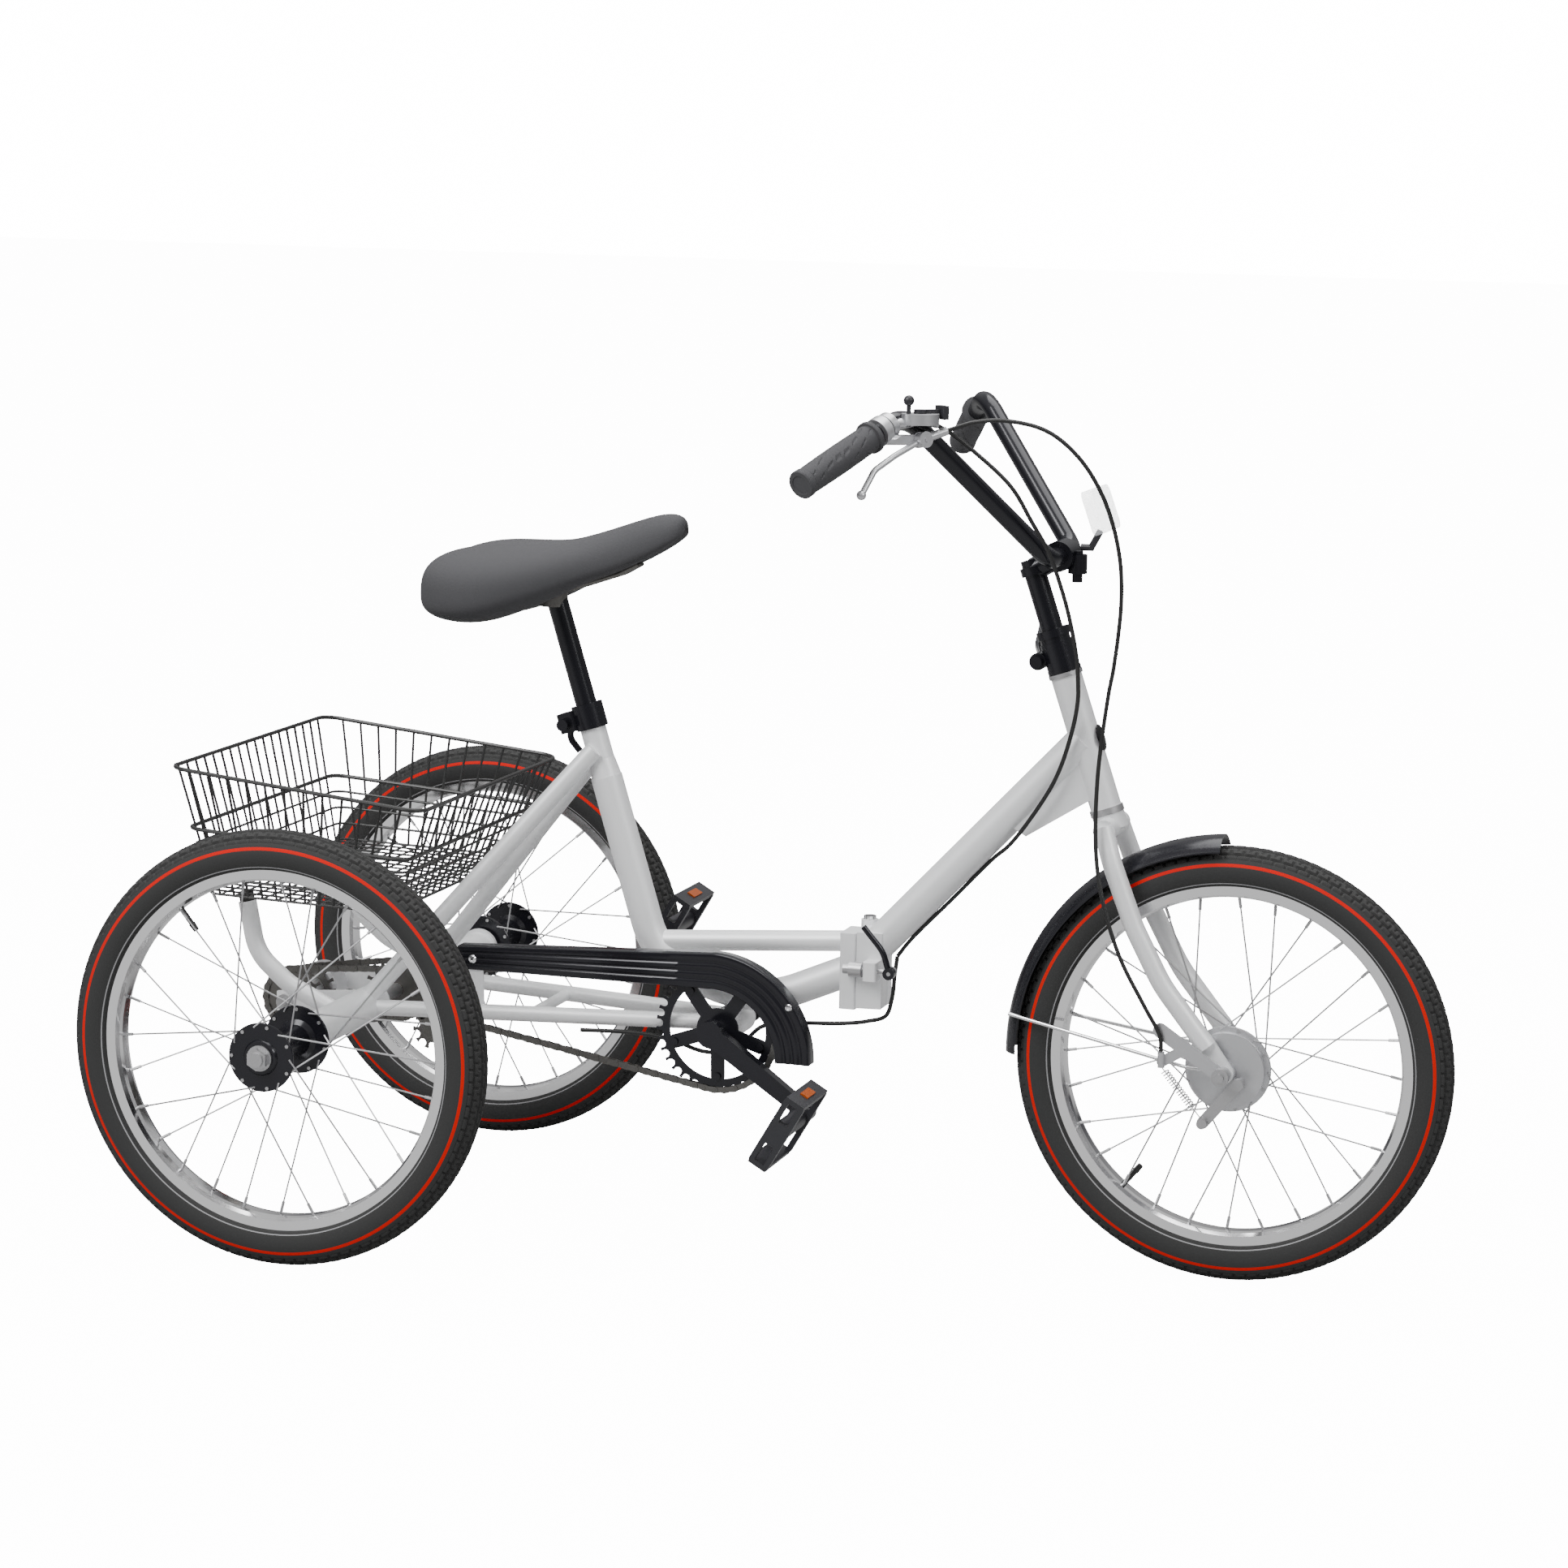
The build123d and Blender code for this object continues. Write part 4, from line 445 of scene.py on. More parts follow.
def chain_places(stations):
    """Even roller places round the stations (x, z, radius, way); way -1 passes over the outside."""
    runs = []
    for n, (ax, az, ar, aw) in enumerate(stations):
        bx, bz, br, bw = stations[(n + 1) % len(stations)]
        gap = math.hypot(bx - ax, bz - az)
        normal = math.atan2(bz - az, bx - ax) - math.pi / 2 - math.asin((bw * br - aw * ar) / gap)
        runs.append(((ax + aw * ar * math.cos(normal), az + aw * ar * math.sin(normal)),
                     (bx + bw * br * math.cos(normal), bz + bw * br * math.sin(normal))))
    pieces = []
    for n, (start, end) in enumerate(runs):
        pieces.append((math.dist(start, end), start, end, None))
        cx, cz, r, way = stations[(n + 1) % len(stations)]
        leave = runs[(n + 1) % len(runs)][0]
        a = math.atan2(end[1] - cz, end[0] - cx)
        b = math.atan2(leave[1] - cz, leave[0] - cx)
        pieces.append((r * ((b - a) * way % (2 * math.pi)), (cx, cz), a, (r, way)))
    total = sum(piece[0] for piece in pieces)
    count = round(total / PITCH)
    places = []
    for n in range(count):
        s = total * n / count
        for length, first, second, arc in pieces:
            if s < length:
                break
            s -= length
        if arc is None:
            t = s / length
            places.append((first[0] + t * (second[0] - first[0]), first[1] + t * (second[1] - first[1])))
        else:
            turn = second + arc[1] * s / arc[0]
            places.append((first[0] + arc[0] * math.cos(turn), first[1] + arc[0] * math.sin(turn)))
    return places


def side_plate(y, thick, waist):
    """Verts and faces of one figure-of-eight chain plate about the middle of a link."""
    neck = 0.3
    outline = []
    for n in range(24):
        a = 2 * math.pi * n / 24
        x = math.cos(a)
        centre = math.copysign(PITCH / 2, x) if abs(x) > neck else x / neck * PITCH / 2
        r = PLATE_R if abs(x) > neck else PLATE_R - waist * (1 - abs(x) / neck)
        outline.append((centre + (PLATE_R * x if abs(x) > neck else 0), r * math.sin(a)))
    verts = [(x, y, z) for x, z in outline] + [(x, y + thick, z) for x, z in outline]
    faces = [tuple(range(24)), tuple(range(47, 23, -1))]
    faces += [(n, n + 24, (n + 1) % 24 + 24, (n + 1) % 24) for n in range(24)]
    return verts, faces


def chain_link(name, outer, material):
    offset = 0.0023 if outer else 0.00125
    pieces = []
    for side in (-1, 1):
        low = side * offset if side > 0 else -offset - PLATE_THICK
        verts, faces = side_plate(low, PLATE_THICK, waist=0.0009)
        pieces.append(faced_out(mesh_object("plate", verts, faces, [material])))
    for side in (-1, 1):
        x = side * PITCH / 2
        r, half = (0.0018, 0.0036) if outer else (0.0036, 0.0012)
        pieces.append(rod("pin", (x, -half, 0), (x, half, 0), r, material, 14))
    return joined(name, pieces)


def chain(name, stations, y):
    places = chain_places(stations)
    middles, turns = [], []
    for (ax, az), (bx, bz) in zip(places, places[1:] + places[:1]):
        middles.append(((ax + bx) / 2, y, (az + bz) / 2))
        turns.append((0.0, -math.atan2(bz - az, bx - ax), 0.0))
    metal = look("dark_steel")
    halves = []
    for n, word in enumerate(("outer", "inner")):
        piece = chain_link("link", n == 0, metal)
        halves.append(scattered(f"{name}_{word}", middles[n::2], turns[n::2], piece, metal))
    return joined(name, halves)


# ---- pieces -------------------------------------------------------------------------------------
def tyre(name, x, y):
    """Carcass, tread blocks and the coloured lines on the walls."""
    around = 648
    crown, wall = 0.228, 0.027
    stops = [(0.2095, 0.0152), (0.2112, 0.0193)]
    for r in (0.2130, 0.2140, 0.2152, 0.2180, 0.2230, 0.2280, 0.2320, 0.23440, 0.23800, 0.2400, 0.2425):
        stops.append((r, math.sqrt(wall ** 2 - (r - crown) ** 2) - 0.0006))
    for a in (57, 52, 47, 42, 37, 32, 27, 22, 17, 13, 9, 5, 1.5):
        t = math.radians(a)
        stops.append((crown + wall * math.cos(t), wall * math.sin(t)))
    profile = stops + [(r, -h) for r, h in reversed(stops)]
    inner = [(0.2120, -0.0130), (0.2300, -0.0200), (0.2480, 0.0), (0.2300, 0.0200), (0.2120, 0.0130)]
    profile += inner
    count = len(profile)
    verts = np.zeros((around, count, 3))
    tread_low = len(stops) - 13
    for n in range(around):
        a = 2 * math.pi * n / around
        block = n % 6
        for k, (r, h) in enumerate(profile):
            edge = min(k, 2 * len(stops) - 1 - k) - tread_low
            if 0 <= edge < 13:
                row = edge // 3
                groove = block == (0, 3, 0, 3, 0)[row] or edge in (3, 8, 11)
                sink = 0.0024 if groove else 0.0
                if edge == 0:
                    sink = 0.0012
                r, h = r - sink * (r - crown) / wall, h - sink * h / wall
            verts[n, k] = (x + r * math.cos(a), y + h, AXLE_Z + r * math.sin(a))
    faces = grid_faces(around, count, True, True)
    indices = []
    for n in range(around):
        for k in range(count):
            edge = min(k, 2 * len(stops) - 2 - k)
            indices.append(1 if edge == 9 else 2 if edge == 3 else 0)
    obj = mesh_object(name, verts.reshape(-1, 3), faces, [look("tyre"), look("line_red"), look("line_white")],
                      indices=indices)
    return faced_out(obj)


def spoke_set(x, y, flanges, metal):
    """Crossed spokes with their heads outside or inside the flange, and a nipple at the rim."""
    pieces, step = [], 360 / SPOKES_A_SIDE
    for side, (hole_r, flange_y) in enumerate(flanges):
        for n in range(SPOKES_A_SIDE):
            way = 1 if n % 2 else -1
            at = math.radians(n * step + side * step / 2)
            to = at + way * math.radians(2 * step)
            start = Vector((x + hole_r * math.cos(at), y + flange_y + 0.0026 * way,
                            AXLE_Z + hole_r * math.sin(at)))
            end = Vector((x + SPOKE_END_R * math.cos(to), y + math.copysign(0.0032, flange_y),
                          AXLE_Z + SPOKE_END_R * math.sin(to)))
            reach = end - start
            pieces.append(rod("spoke", start, start + reach * 0.985, 0.00105, metal, 8))
            pieces.append(rod("nipple", start + reach * 0.925, end, 0.0019, metal, 8))
            pieces.append(rod("elbow", start, start - Vector((0, 0.0046 * way, 0)), 0.0012, metal, 8))
            pieces.append(rod("head", start - Vector((0, 0.0044 * way, 0)),
                              start - Vector((0, 0.0056 * way, 0)), 0.0022, metal, 8))
    return pieces


def rear_hub(name, x, y):
    black, metal = look("gloss_black"), look("steel")
    f = 0.0495
    outline = [(0.0086, -0.054), (0.019, -0.054), (0.0205, -0.0522), (0.021, -f - 0.0016),
               (0.0393, -f - 0.0015), (0.040, -f - 0.0008), (0.040, -f + 0.0008), (0.0393, -f + 0.0015),
               (0.024, -f + 0.0018),
               (0.0185, -f + 0.006), (0.0165, -f + 0.016), (0.0165, f - 0.016), (0.0185, f - 0.006),
               (0.024, f - 0.0018), (0.0393, f - 0.0015), (0.040, f - 0.0008), (0.040, f + 0.0008),
               (0.0393, f + 0.0015), (0.021, f + 0.0016), (0.0205, 0.0522), (0.019, 0.054), (0.0086, 0.054)]
    pieces = [turned("barrel", outline, (x, y, AXLE_Z), black, 72)]
    pieces += spoke_set(x, y, [(0.036, -f), (0.036, f)], metal)
    return joined(name, pieces)


def front_hub(name, x, y):
    alloy, metal = look("alloy"), look("steel")
    outline = [(0.00505, -0.034), (0.012, -0.034), (0.012, -0.020), (0.040, -0.020), (0.040, -0.0345),
               (0.0435, -0.0345), (0.044, -0.034), (0.044, -0.0285), (0.0495, -0.0280), (0.050, -0.0272),
               (0.050, -0.0252), (0.0495, -0.0245), (0.044, -0.0235), (0.0438, -0.018), (0.0425, -0.0125),
               (0.038, -0.0085), (0.024, -0.0045), (0.018, 0.002), (0.016, 0.012), (0.0162, 0.024),
               (0.020, 0.0278), (0.0315, 0.0282), (0.032, 0.0290), (0.032, 0.0302), (0.0315, 0.0308),
               (0.018, 0.0325), (0.0145, 0.036), (0.013, 0.042), (0.00505, 0.042)]
    pieces = [turned("barrel", outline, (x, y, AXLE_Z), alloy, 96)]
    pieces += spoke_set(x, y, [(0.0465, -0.0262), (0.0285, 0.0295)], metal)
    return joined(name, pieces)


def valve(name, x, y, angle):
    a = math.radians(angle)
    way = Vector((math.cos(a), 0, math.sin(a)))
    centre = Vector((x, y, AXLE_Z))
    stem = rod("stem", centre + way * 0.197, centre + way * 0.176, 0.0032, look("cable_black"), 14)
    cap = rod("cap", centre + way * 0.176, centre + way * 0.166, 0.0040, look("cable_black"), 14, 0.0034)
    return joined(name, [stem, cap])


def saddle():
    """Padded top: lofted ribs, rounded over the edge and tucked under a little."""
    ribs = [(-0.4645, 0.045, 0.750, 0.778), (-0.461, 0.070, 0.735, 0.789), (-0.450, 0.094, 0.724, 0.799),
            (-0.430, 0.112, 0.717, 0.808), (-0.400, 0.120, 0.713, 0.8145), (-0.370, 0.1185, 0.716, 0.8165),
            (-0.340, 0.106, 0.727, 0.8175), (-0.310, 0.086, 0.739, 0.8195), (-0.285, 0.066, 0.752, 0.8235),
            (-0.260, 0.050, 0.763, 0.8305), (-0.235, 0.041, 0.772, 0.839), (-0.210, 0.0355, 0.784, 0.848),
            (-0.185, 0.032, 0.798, 0.856), (-0.168, 0.028, 0.810, 0.858), (-0.157, 0.021, 0.820, 0.855),
            (-0.152, 0.011, 0.830, 0.849)]
    around = 48
    verts = []
    for x, half, low, high in ribs:
        flat = max(0.0, min(1.0, (-0.26 - x) / 0.16))
        power = 2.0 + 0.9 * flat
        for n in range(around):
            a = 2 * math.pi * n / around
            c, s = math.cos(a), math.sin(a)
            w = math.copysign(abs(c) ** (2 / power), c)
            t = math.copysign(abs(s) ** (2 / power), s)
            y = half * w
            middle = low + 0.38 * (high - low)
            z = middle + (high - middle) * t if t > 0 else middle + (middle - low) * t
            if t < 0:
                y *= 1.0 - 0.10 * t * t
                z += 0.018 * (1 - abs(w)) * min(1.0, -t * 2) * (1 - flat * 0.3)
            dish = 0.0045 * flat * math.exp(-(y / 0.028) ** 2) if t > 0 else 0.0
            verts.append((x, y, z - dish))
    faces = grid_faces(len(ribs), around, False, True)
    faces += [tuple(range(around - 1, -1, -1)), tuple(range((len(ribs) - 1) * around, len(ribs) * around))]
    obj = faced_out(mesh_object("saddle_top", verts, faces, [look("vinyl")]))
    sharpen(obj, 180.0)
    modifier = obj.modifiers.new("smooth", "SUBSURF")
    modifier.levels = modifier.render_levels = 2
    bpy.context.view_layer.update()
    return sharpen(plain(obj), 180.0)


KNEE = Vector((0.160, 0.174, 0.9985))
BAR_END = Vector((0.091, 0.335, 0.9295))


def grip_way(side):
    way = (BAR_END - KNEE).normalized()
    return Vector((way.x, side * way.y, way.z))


def bar_point(side, along):
    return Vector((KNEE.x, side * KNEE.y, KNEE.z)) + grip_way(side) * along


def grip(side):
    """Soft grip with a flange, shallow curved grooves and a closed end."""
    length = 0.128
    whole = (BAR_END - KNEE).length
    start = bar_point(side, whole - length)
    way = grip_way(side)
    up = (Vector((0, 0, 1)) - way * way.z).normalized()
    right = way.cross(up)
    along, around = 150, 96
    rows = [(0.0, 0.0112), (0.0, 0.0178), (0.0008, 0.0185), (0.0052, 0.0185), (0.006, 0.0178),
            (0.0063, 0.0158)]
    body_low = len(rows)
    for n in range(along):
        t = n / (along - 1)
        rows.append((0.0068 + t * (length - 0.0165), 0.0155 + 0.0008 * math.sin(math.pi * t)))
    body_high = len(rows)
    rows += [(length - 0.0093, 0.0150), (length - 0.0086, 0.0163), (length - 0.0015, 0.0165),
             (length, 0.0155), (length, 0.0110), (length - 0.0008, 0.0104), (length - 0.0008, 0.0)]
    verts = []
    for k, (h, r) in enumerate(rows):
        for n in range(around):
            a = 2 * math.pi * n / around
            radius = r
            if body_low < k < body_high - 2:
                t = (k - body_low) / (body_high - body_low)
                band = math.sin(6 * a + 13.0 * t + 1.6 * math.sin(9 * t + 2 * a))
                island = math.sin(15 * math.pi * t + 3.2 * math.cos(2 * a)) > -0.35
                if band > 0.78 and island:
                    radius -= 0.0011 * (band - 0.78) / 0.22
            verts.append(start + way * h + (up * math.cos(a) + right * math.sin(a)) * radius)
    faces = grid_faces(len(rows), around, False, True)
    return faced_out(mesh_object("grip", verts, faces, [look("vinyl")]))


def basket_ring(t):
    """The four corners of the basket's outline at height share t, floor 0 to rim 1."""
    def mix(a, b):
        return a + (b - a) * t

    rear = (mix(-0.678, -0.7135), mix(0.4002, 0.5525))
    front = (mix(-0.442, -0.3945), mix(0.3942, 0.5205))
    half = mix(0.200, 0.2255)
    return [Vector((rear[0], -half, rear[1])), Vector((front[0], -half, front[1])),
            Vector((front[0], half, front[1])), Vector((rear[0], half, rear[1]))]


def rounded_ring(corners, radius, steps=6):
    line = []
    for n, corner in enumerate(corners):
        before = (corners[n - 1] - corner).normalized()
        after = (corners[(n + 1) % len(corners)] - corner).normalized()
        centre = corner + (before + after) * radius
        for k in range(steps + 1):
            a = math.pi / 2 * k / steps
            line.append(centre - after * (radius * math.cos(a)) - before * (radius * math.sin(a)))
    return line + [line[0]]


def basket():
    black = look("satin_black")
    thick = [rounded_ring(basket_ring(1.0), 0.022), rounded_ring(basket_ring(0.52), 0.018)]
    fine = [rounded_ring(basket_ring(t), 0.016) for t in (0.0, 0.13, 0.26, 0.39)]
    low, high = basket_ring(0.0), basket_ring(1.0)
    across, lengthways = 19, 13
    for n in range(1, across):
        t = n / across
        fine.append([high[0].lerp(high[3], t), low[0].lerp(low[3], t), low[1].lerp(low[2], t),
                     high[1].lerp(high[2], t)])
    for n in range(1, lengthways):
        t = n / lengthways
        fine.append([high[0].lerp(high[1], t), low[0].lerp(low[1], t), low[3].lerp(low[2], t),
                     high[3].lerp(high[2], t)])
    pieces = [wires("basket_rim", thick, 0.0026, black), wires("basket_wires", fine, 0.0016, black)]
    return joined("wire_basket", pieces)


GUARD_C = Vector((-0.095, 0.0, 0.222))


def chain_guard():
    """Pressed steel guard with raised ribs that follow its edge."""
    rows = []
    for n in range(60):
        t = n / 59
        x = -0.4135 + t * 0.3185
        low, high = 0.3035 + t * 0.0015, 0.3305 + t * 0.0155
        rows.append((Vector((x, 0, low)), Vector((x, 0, high))))
    for n in range(1, 61):
        a = math.radians(90 - 1.5 * n)
        way = Vector((math.cos(a), 0, math.sin(a)))
        rows.append((GUARD_C + way * 0.0832, GUARD_C + way * 0.1245))
    face_y = -0.0617
    across = [(0.0, 0.0012), (0.02, 0.0003), (0.16, 0.0), (0.20, 0.0), (0.24, 0.0011), (0.30, 0.0011),
              (0.34, 0.0), (0.44, 0.0), (0.48, 0.0011), (0.54, 0.0011), (0.58, 0.0), (0.68, 0.0),
              (0.72, 0.0011),
              (0.78, 0.0011), (0.82, 0.0), (0.95, 0.0), (0.985, 0.0004), (1.0, 0.0015)]
    verts = []
    for low, high in rows:
        for t, depth in across:
            p = low.lerp(high, t)
            verts.append(Vector((p.x, face_y + depth, p.z)))
        verts += [Vector((high.x, -0.050, high.z)), Vector((high.x, -0.0405, high.z))]
    faces = grid_faces(len(rows), len(across) + 2)
    obj = mesh_object("guard_sheet", verts, faces, [look("gloss_black")])
    modifier = obj.modifiers.new("thick", "SOLIDIFY")
    modifier.thickness = 0.0012
    modifier.offset = 0.0
    bpy.context.view_layer.update()
    return faced_out(plain(obj))


def screw(name, place, axis, radius, material):
    """A low round-headed screw."""
    outline = [(0.0, 0.0), (radius, 0.0), (radius, radius * 0.25), (radius * 0.75, radius * 0.55),
               (radius * 0.35, radius * 0.62), (radius * 0.3, radius * 0.45), (0.0, radius * 0.45)]
    return turned(name, outline, place, material, 20, axis, False)


def head_point(along, ahead=0.0):
    """A point up the leaning head tube, and ahead of its middle line."""
    return Vector((HEAD_FOOT[0] - along * math.sin(HEAD_LEAN) + ahead * math.cos(HEAD_LEAN), 0.0,
                   HEAD_FOOT[1] + along * math.cos(HEAD_LEAN) + ahead * math.sin(HEAD_LEAN)))


# ---- studio -------------------------------------------------------------------------------------
FLOOR_HALF = 30.0
BACKDROP_LIFT = 2.0


def seen_only(nodes, links, plain_output, seen_output, target):
    """The camera sees one shader and every other ray meets the plain one."""
    path, choose = nodes.new("ShaderNodeLightPath"), nodes.new("ShaderNodeMixShader")
    links.new(path.outputs["Is Camera Ray"], choose.inputs["Fac"])
    links.new(plain_output, choose.inputs[1])
    links.new(seen_output, choose.inputs[2])
    links.new(choose.outputs["Shader"], target)


def studio_white(strength):
    """A matt grey floor that glows white to the camera alone, so it never lights the pieces."""
    white = bpy.data.materials.new("studio_white")
    white.use_nodes = True
    nodes, links = white.node_tree.nodes, white.node_tree.links
    shader = nodes["Principled BSDF"]
    shader.inputs["Base Color"].default_value = (0.36, 0.36, 0.36, 1)
    shader.inputs["Roughness"].default_value = 0.9
    shader.inputs["Specular IOR Level"].default_value = 0.0
    glow = nodes.new("ShaderNodeEmission")
    glow.inputs["Strength"].default_value = strength
    both = nodes.new("ShaderNodeAddShader")
    links.new(shader.outputs["BSDF"], both.inputs[0])
    links.new(glow.outputs["Emission"], both.inputs[1])
    seen_only(nodes, links, shader.outputs["BSDF"], both.outputs["Shader"],
              nodes["Material Output"].inputs["Surface"])
    return white


def studio_world(strength):
    """A sky that brightens upwards for the lighting, and plain white behind the object."""
    world = bpy.data.worlds.new("studio")
    bpy.context.scene.world = world
    world.use_nodes = True
    nodes, links = world.node_tree.nodes, world.node_tree.links
    sky = nodes["Background"]
    sky.inputs["Strength"].default_value = 0.7
    seen = nodes.new("ShaderNodeBackground")
    seen.inputs["Color"].default_value = (1, 1, 1, 1)
    seen.inputs["Strength"].default_value = strength + BACKDROP_LIFT
    place, split = nodes.new("ShaderNodeTexCoord"), nodes.new("ShaderNodeSeparateXYZ")
    ramp = nodes.new("ShaderNodeValToRGB")
    low, high = ramp.color_ramp.elements
    low.position, low.color = 0.02, (0.1, 0.1, 0.11, 1)
    high.position, high.color = 0.6, (1.0, 1.0, 1.0, 1)
    links.new(place.outputs["Generated"], split.inputs["Vector"])
    links.new(split.outputs["Z"], ramp.inputs["Fac"])
    links.new(ramp.outputs["Color"], sky.inputs["Color"])
    seen_only(nodes, links, sky.outputs["Background"], seen.outputs["Background"],
              nodes["World Output"].inputs["Surface"])


def softbox(name, place, aim, size, power):
    data = bpy.data.lights.new(name, "AREA")
    data.energy = power
    data.size = size
    obj = link(bpy.data.objects.new(name, data))
    obj.location = place
    obj.rotation_euler = (Vector(aim) - Vector(place)).to_track_quat("-Z", "Y").to_euler()
    return obj


def studio_camera():
    data = bpy.data.cameras.new("camera")
    data.lens = 94.33
    data.sensor_width = 36.0
    camera = link(bpy.data.objects.new("camera", data))
    forward = Vector((-0.2948, 0.9416, -0.1627)).normalized()
    right = Vector((0.954, 0.2987, 0.0)).normalized()
    up = right.cross(forward).normalized()
    roll = math.radians(1.08)
    x_axis = right * math.cos(roll) + up * math.sin(roll)
    y_axis = up * math.cos(roll) - right * math.sin(roll)
    matrix = Matrix((x_axis, y_axis, -forward)).transposed().to_4x4()
    matrix.translation = Vector((1.4012, -4.5587, 1.3323))
    camera.matrix_world = matrix
    return camera


# ---- operators ----------------------------------------------------------------------------------
class TricycleSettings(bpy.types.PropertyGroup):
    white: bpy.props.FloatProperty(name="Backdrop", default=14.0, min=0.0,
                                   description="How white the stage is")
    softbox: bpy.props.FloatProperty(name="Softbox size", default=2.4, min=0.5, unit="LENGTH")


class Piece:
    """What every operator here shares."""
    bl_options = {"REGISTER", "UNDO"}

    def execute(self, context):
        self.build(context.scene.tricycle)
        return {"FINISHED"}


class TRICYCLE_OT_finishes(Piece, bpy.types.Operator):
    bl_idname = "tricycle.finishes"
    bl_label = "Finishes"
    bl_description = "Gives every solid of the frame its finish"

    def build(self, settings):
        slots = {entry["node"]: entry["material_slot"] for entry in FRAME["record"]["subparts"]}
        for node, obj in FRAME["nodes"].items():
            obj.data.materials.clear()
            obj.data.materials.append(look(slots[node]))
        self.second(FRAME["nodes"]["front_fender"], "chrome", lambda p: abs(p.y) > 0.0325)
        ahead = Vector((0.94, 0, 0.34))
        self.second(FRAME["nodes"]["front_reflector"], "black_plastic",
                    lambda p: (p - Vector((0.340, 0, 0.884))).dot(ahead) < -0.001)

    def second(self, obj, name, inside):
        """A second finish on the faces whose middle is inside the given region."""
        obj.data.materials.append(look(name))
        for polygon in obj.data.polygons:
            if inside(polygon.center):
                polygon.material_index = 1


class TRICYCLE_OT_wheels(Piece, bpy.types.Operator):
    bl_idname = "tricycle.wheels"
    bl_label = "Wheels"
    bl_description = "Tyres with tread, hubs, spokes and valves"

    def build(self, settings):
        for word, x, y, body in WHEELS:
            settle(tyre(f"{word}_tyre_tread", x, y), body, "tyre", f"{word}_tyre")
            make = front_hub if word == "front" else rear_hub
            slot_name = "alloy" if word == "front" else "gloss_black"
            settle(make(f"{word}_hub_laced", x, y), body, slot_name, f"{word}_hub")
            settle(valve(f"{word}_valve", x, y, VALVE_ANGLES[word]), body, "cable_black")


class TRICYCLE_OT_drive(Piece, bpy.types.Operator):
    bl_idname = "tricycle.drive"
    bl_label = "Chains and guard"
    bl_description = "Link chains, ribbed guard and its screws"

    def build(self, settings):
        first = [(*HUB, pitch_radius(18), 1), (*IDLER, pitch_radius(10), -1), (*BB, pitch_radius(36), 1)]
        second = [(*HUB, pitch_radius(14), 1), (REAR_X, AXLE_Z, pitch_radius(18), 1)]
        settle(chain("primary_links", first, PRIMARY_Y), "rear_frame", "dark_steel", "primary_chain")
        settle(chain("secondary_links", second, SECONDARY_Y), "rear_frame", "dark_steel", "secondary_chain")
        settle(chain_guard(), "rear_frame", "gloss_black", "chain_guard")
        chrome = look("chrome")
        pieces = [screw("screw", (-0.394, -0.0618, 0.3165), (0, -1, 0), 0.0052, chrome),
                  screw("screw", (0.004, -0.0618, 0.290), (0, -1, 0), 0.0045, chrome)]
        settle(joined("guard_screws", pieces), "rear_frame", "chrome")


class TRICYCLE_OT_seat(Piece, bpy.types.Operator):
    bl_idname = "tricycle.seat"
    bl_label = "Saddle"
    bl_description = "Padded saddle"

    def build(self, settings):
        top = saddle()
        settle(top, "seat", "vinyl", "saddle")


class TRICYCLE_OT_basket(Piece, bpy.types.Operator):
    bl_idname = "tricycle.basket"
    bl_label = "Basket"
    bl_description = "Wire basket"

    def build(self, settings):
        settle(basket(), "rear_frame", "satin_black", "basket")


class TRICYCLE_OT_bar(Piece, bpy.types.Operator):
    bl_idname = "tricycle.bar"
    bl_label = "Grips"
    bl_description = "Soft grips"

    def build(self, settings):
        settle(joined("soft_grips", [grip(-1), grip(1)]), "bar", "vinyl", "handlebar_grips")


BRAKE_ROUTE = [(207.6, -166.5, 981.8), (234, -152, 990.9), (265.5, -130, 992.5), (306, -106, 981),
               (339, -86, 951), (365, -70, 905), (381, -58, 846), (384, -50, 790), (377, -45, 715),
               (371, -45, 677), (363.5, -52, 585), (367.5, -66, 503), (379, -75, 449), (402, -79, 386),
               (432, -77, 331), (450, -71, 296), (451.4, -69.5, 278.4)]
BAR_SHIFT_ROUTE = [(193.3, -158.9, 986.8), (206, -144, 977), (229, -130, 957), (268.6, -114, 918),
                   (290, -97, 877), (306, -83, 844), (317.5, -71, 807), (326, -58, 769), (333, -45, 722),
                   (334, -39, 699)]
FRONT_SHIFT_ROUTE = [(334, -39, 699), (333.5, -34, 670), (326, -30, 630), (308.5, -28, 577),
                     (273, -22, 519), (250, -12, 491), (232, 0, 475.6), (182, 0, 422), (132, 0, 368.3),
                     (118, -2, 349)]
REAR_SHIFT_ROUTE = [(118, -2, 349), (115.5, -2, 326), (113, -3, 298), (106, -4, 277), (84, -5, 269),
                    (50, -8, 264), (6, -14, 262), (-40, -22, 256), (-72, -30, 226), (-108, -35, 222),
                    (-150, -38, 234), (-190, -46, 240), (-256, -60, 241)]


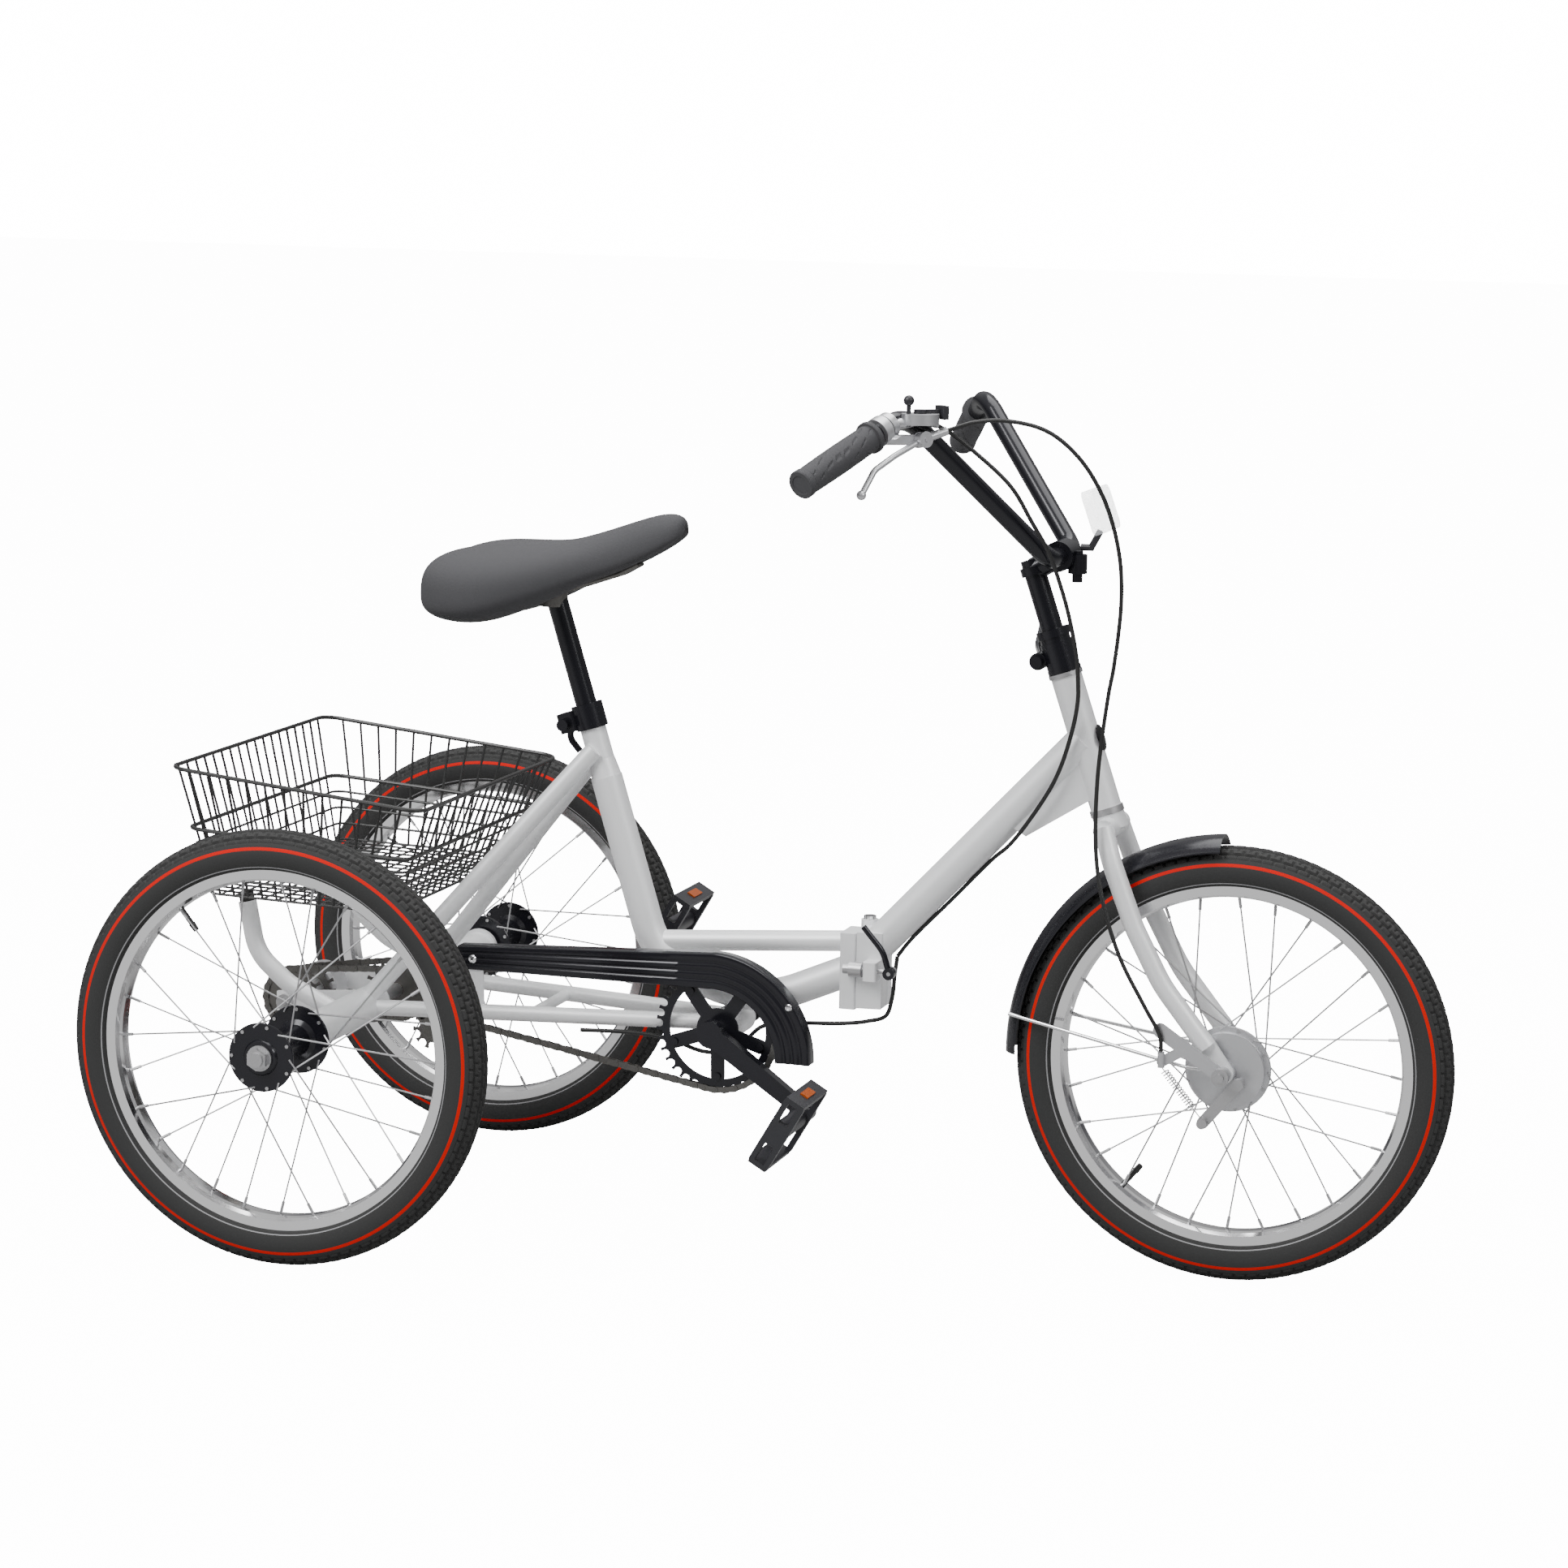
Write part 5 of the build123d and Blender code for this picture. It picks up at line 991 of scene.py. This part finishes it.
class TRICYCLE_OT_cables(Piece, bpy.types.Operator):
    bl_idname = "tricycle.cables"
    bl_label = "Cables"
    bl_description = "Control cables that bend where a joint moves them"

    def build(self, settings):
        black = look("cable_black")
        rows = [("brake_housing", BRAKE_ROUTE, "brake_cable", "steered_fork", "bar", (0.371, -0.045, 0.68),
                 (0.339, -0.086, 0.951)),
                ("bar_shift_housing", BAR_SHIFT_ROUTE, "bar_shift_cable", "steered_fork", "bar",
                 (0.334, -0.039, 0.705), (0.290, -0.097, 0.877)),
                ("front_shift_housing", FRONT_SHIFT_ROUTE, "front_shift_cable", "front_half", "steered_fork",
                 (0.273, -0.022, 0.519), (0.3338, -0.037, 0.690)),
                ("rear_shift_housing", REAR_SHIFT_ROUTE, "rear_shift_cable", "rear_frame", "front_half",
                 (0.050, -0.008, 0.264), (0.1165, -0.002, 0.330))]
        for name, route, node, near, far, start, end in rows:
            line = smooth_path([Vector(p) * MM for p in route])
            obj = swept(name, line, HOUSING_R, black)
            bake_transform(obj)
            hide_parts(node)


class TRICYCLE_OT_spring(Piece, bpy.types.Operator):
    bl_idname = "tricycle.spring"
    bl_label = "Brake spring"
    bl_description = "Return spring and bare wire between the cable stop and the brake arm"

    def build(self, settings):
        steel = look("steel")
        start, end = Vector((0.4535, -0.0685, 0.259)), Vector((0.497, -0.0600, 0.2035))
        way = (end - start).normalized()
        side = way.orthogonal().normalized()
        other = way.cross(side)
        coil, turns, steps = [], 15, 12
        for n in range(turns * steps + 1):
            a = 2 * math.pi * n / steps
            t = 0.06 + 0.74 * n / (turns * steps)
            coil.append(start.lerp(end, t) + side * (0.0042 * math.cos(a)) + other * (0.0042 * math.sin(a)))
        wire = [start.lerp(end, n / 12) for n in range(13)]
        pieces = [swept("coil", coil, 0.0008, steel, 6), swept("wire", wire, 0.0008, steel, 6)]
        obj = joined("brake_spring", pieces)
        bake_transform(obj)


class TRICYCLE_OT_trim(Piece, bpy.types.Operator):
    bl_idname = "tricycle.trim"
    bl_label = "Trim"
    bl_description = "Small fittings that move with their bodies"

    def build(self, settings):
        amber = look("amber")
        down = Vector((-math.sin(PEDAL_TILT), 0, -math.cos(PEDAL_TILT)))
        across = Vector((down.z, 0, -down.x))
        for side, body, word in ((-1, "pedal_right", "right"), (1, "pedal_left", "left")):
            x = BB[0] - side * CRANK * math.cos(CRANK_ANGLE)
            z = BB[1] - side * CRANK * math.sin(CRANK_ANGLE)
            pieces = []
            for way in (-1, 1):
                centre = Vector((x, side * PEDAL_Y, z)) + down * (0.0465 * way)
                corners = [centre + Vector((0, u * 0.015, 0)) + across * (v * 0.0052) + down * (w * 0.0012)
                           for w in (-1, 1) for v in (-1, 1) for u in (-1, 1)]
                faces = [(0, 1, 3, 2), (4, 6, 7, 5), (0, 4, 5, 1), (2, 3, 7, 6), (0, 2, 6, 4), (1, 5, 7, 3)]
                pieces.append(faced_out(mesh_object("plate", corners, faces, [amber], smooth=False)))
            obj = joined(f"{word}_pedal_reflectors", pieces)
            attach(obj, body)
        outline = [(0.0, 0.0), (0.0155, 0.0), (0.0152, 0.0012), (0.010, 0.0022), (0.0, 0.0026)]
        badge = turned("head_badge", outline, head_point(0.083, ahead=0.0180), look("badge"), 40,
                       head_point(0, 1) - head_point(0), False)
        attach(badge, "front_half")


class TRICYCLE_OT_studio(Piece, bpy.types.Operator):
    bl_idname = "tricycle.studio"
    bl_label = "Studio"
    bl_description = "White floor and backdrop, soft lights and the camera"

    def build(self, settings):
        s = FLOOR_HALF
        corners = [(-s, -s, 0), (s, -s, 0), (s, s, 0), (-s, s, 0)]
        mesh_object("floor", corners, [(0, 1, 2, 3)], [studio_white(settings.white)], smooth=False)
        studio_world(settings.white)
        for name, place, aim, size, power in (
                ("key", (-2.0, -3.4, 4.0), (0, 0, 0.4), settings.softbox, 250.0),
                ("rim", (3.2, -1.6, 2.6), (0.3, 0, 0.5), 1.2, 45.0),
                ("top", (0.2, 0.6, 4.2), (0, 0, 0.3), 3.0, 150.0)):
            softbox(name, place, aim, size, power)
        bpy.context.scene.camera = studio_camera()


OPERATORS = (TRICYCLE_OT_finishes, TRICYCLE_OT_wheels, TRICYCLE_OT_drive, TRICYCLE_OT_seat,
             TRICYCLE_OT_basket, TRICYCLE_OT_bar, TRICYCLE_OT_cables, TRICYCLE_OT_spring, TRICYCLE_OT_trim,
             TRICYCLE_OT_studio)


class TRICYCLE_PT_panel(bpy.types.Panel):
    bl_label = "Tricycle"
    bl_idname = "TRICYCLE_PT_panel"
    bl_space_type = "VIEW_3D"
    bl_region_type = "UI"
    bl_category = "Tricycle"

    def draw(self, context):
        layout = self.layout
        layout.prop(context.scene.tricycle, "white")
        layout.prop(context.scene.tricycle, "softbox")
        for operator in OPERATORS:
            layout.operator(operator.bl_idname)


CLASSES = (TricycleSettings, *OPERATORS, TRICYCLE_PT_panel)
FRAME = {}


def register():
    for cls in CLASSES:
        bpy.utils.register_class(cls)
    bpy.types.Scene.tricycle = bpy.props.PointerProperty(type=TricycleSettings)


def unregister():
    del bpy.types.Scene.tricycle
    for cls in reversed(CLASSES):
        bpy.utils.unregister_class(cls)


def main():
    FRAME.update(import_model())
    for operator in OPERATORS:
        space, name = operator.bl_idname.split(".")
        getattr(getattr(bpy.ops, space), name)()


if __name__ == "__main__":
    register()
    main()
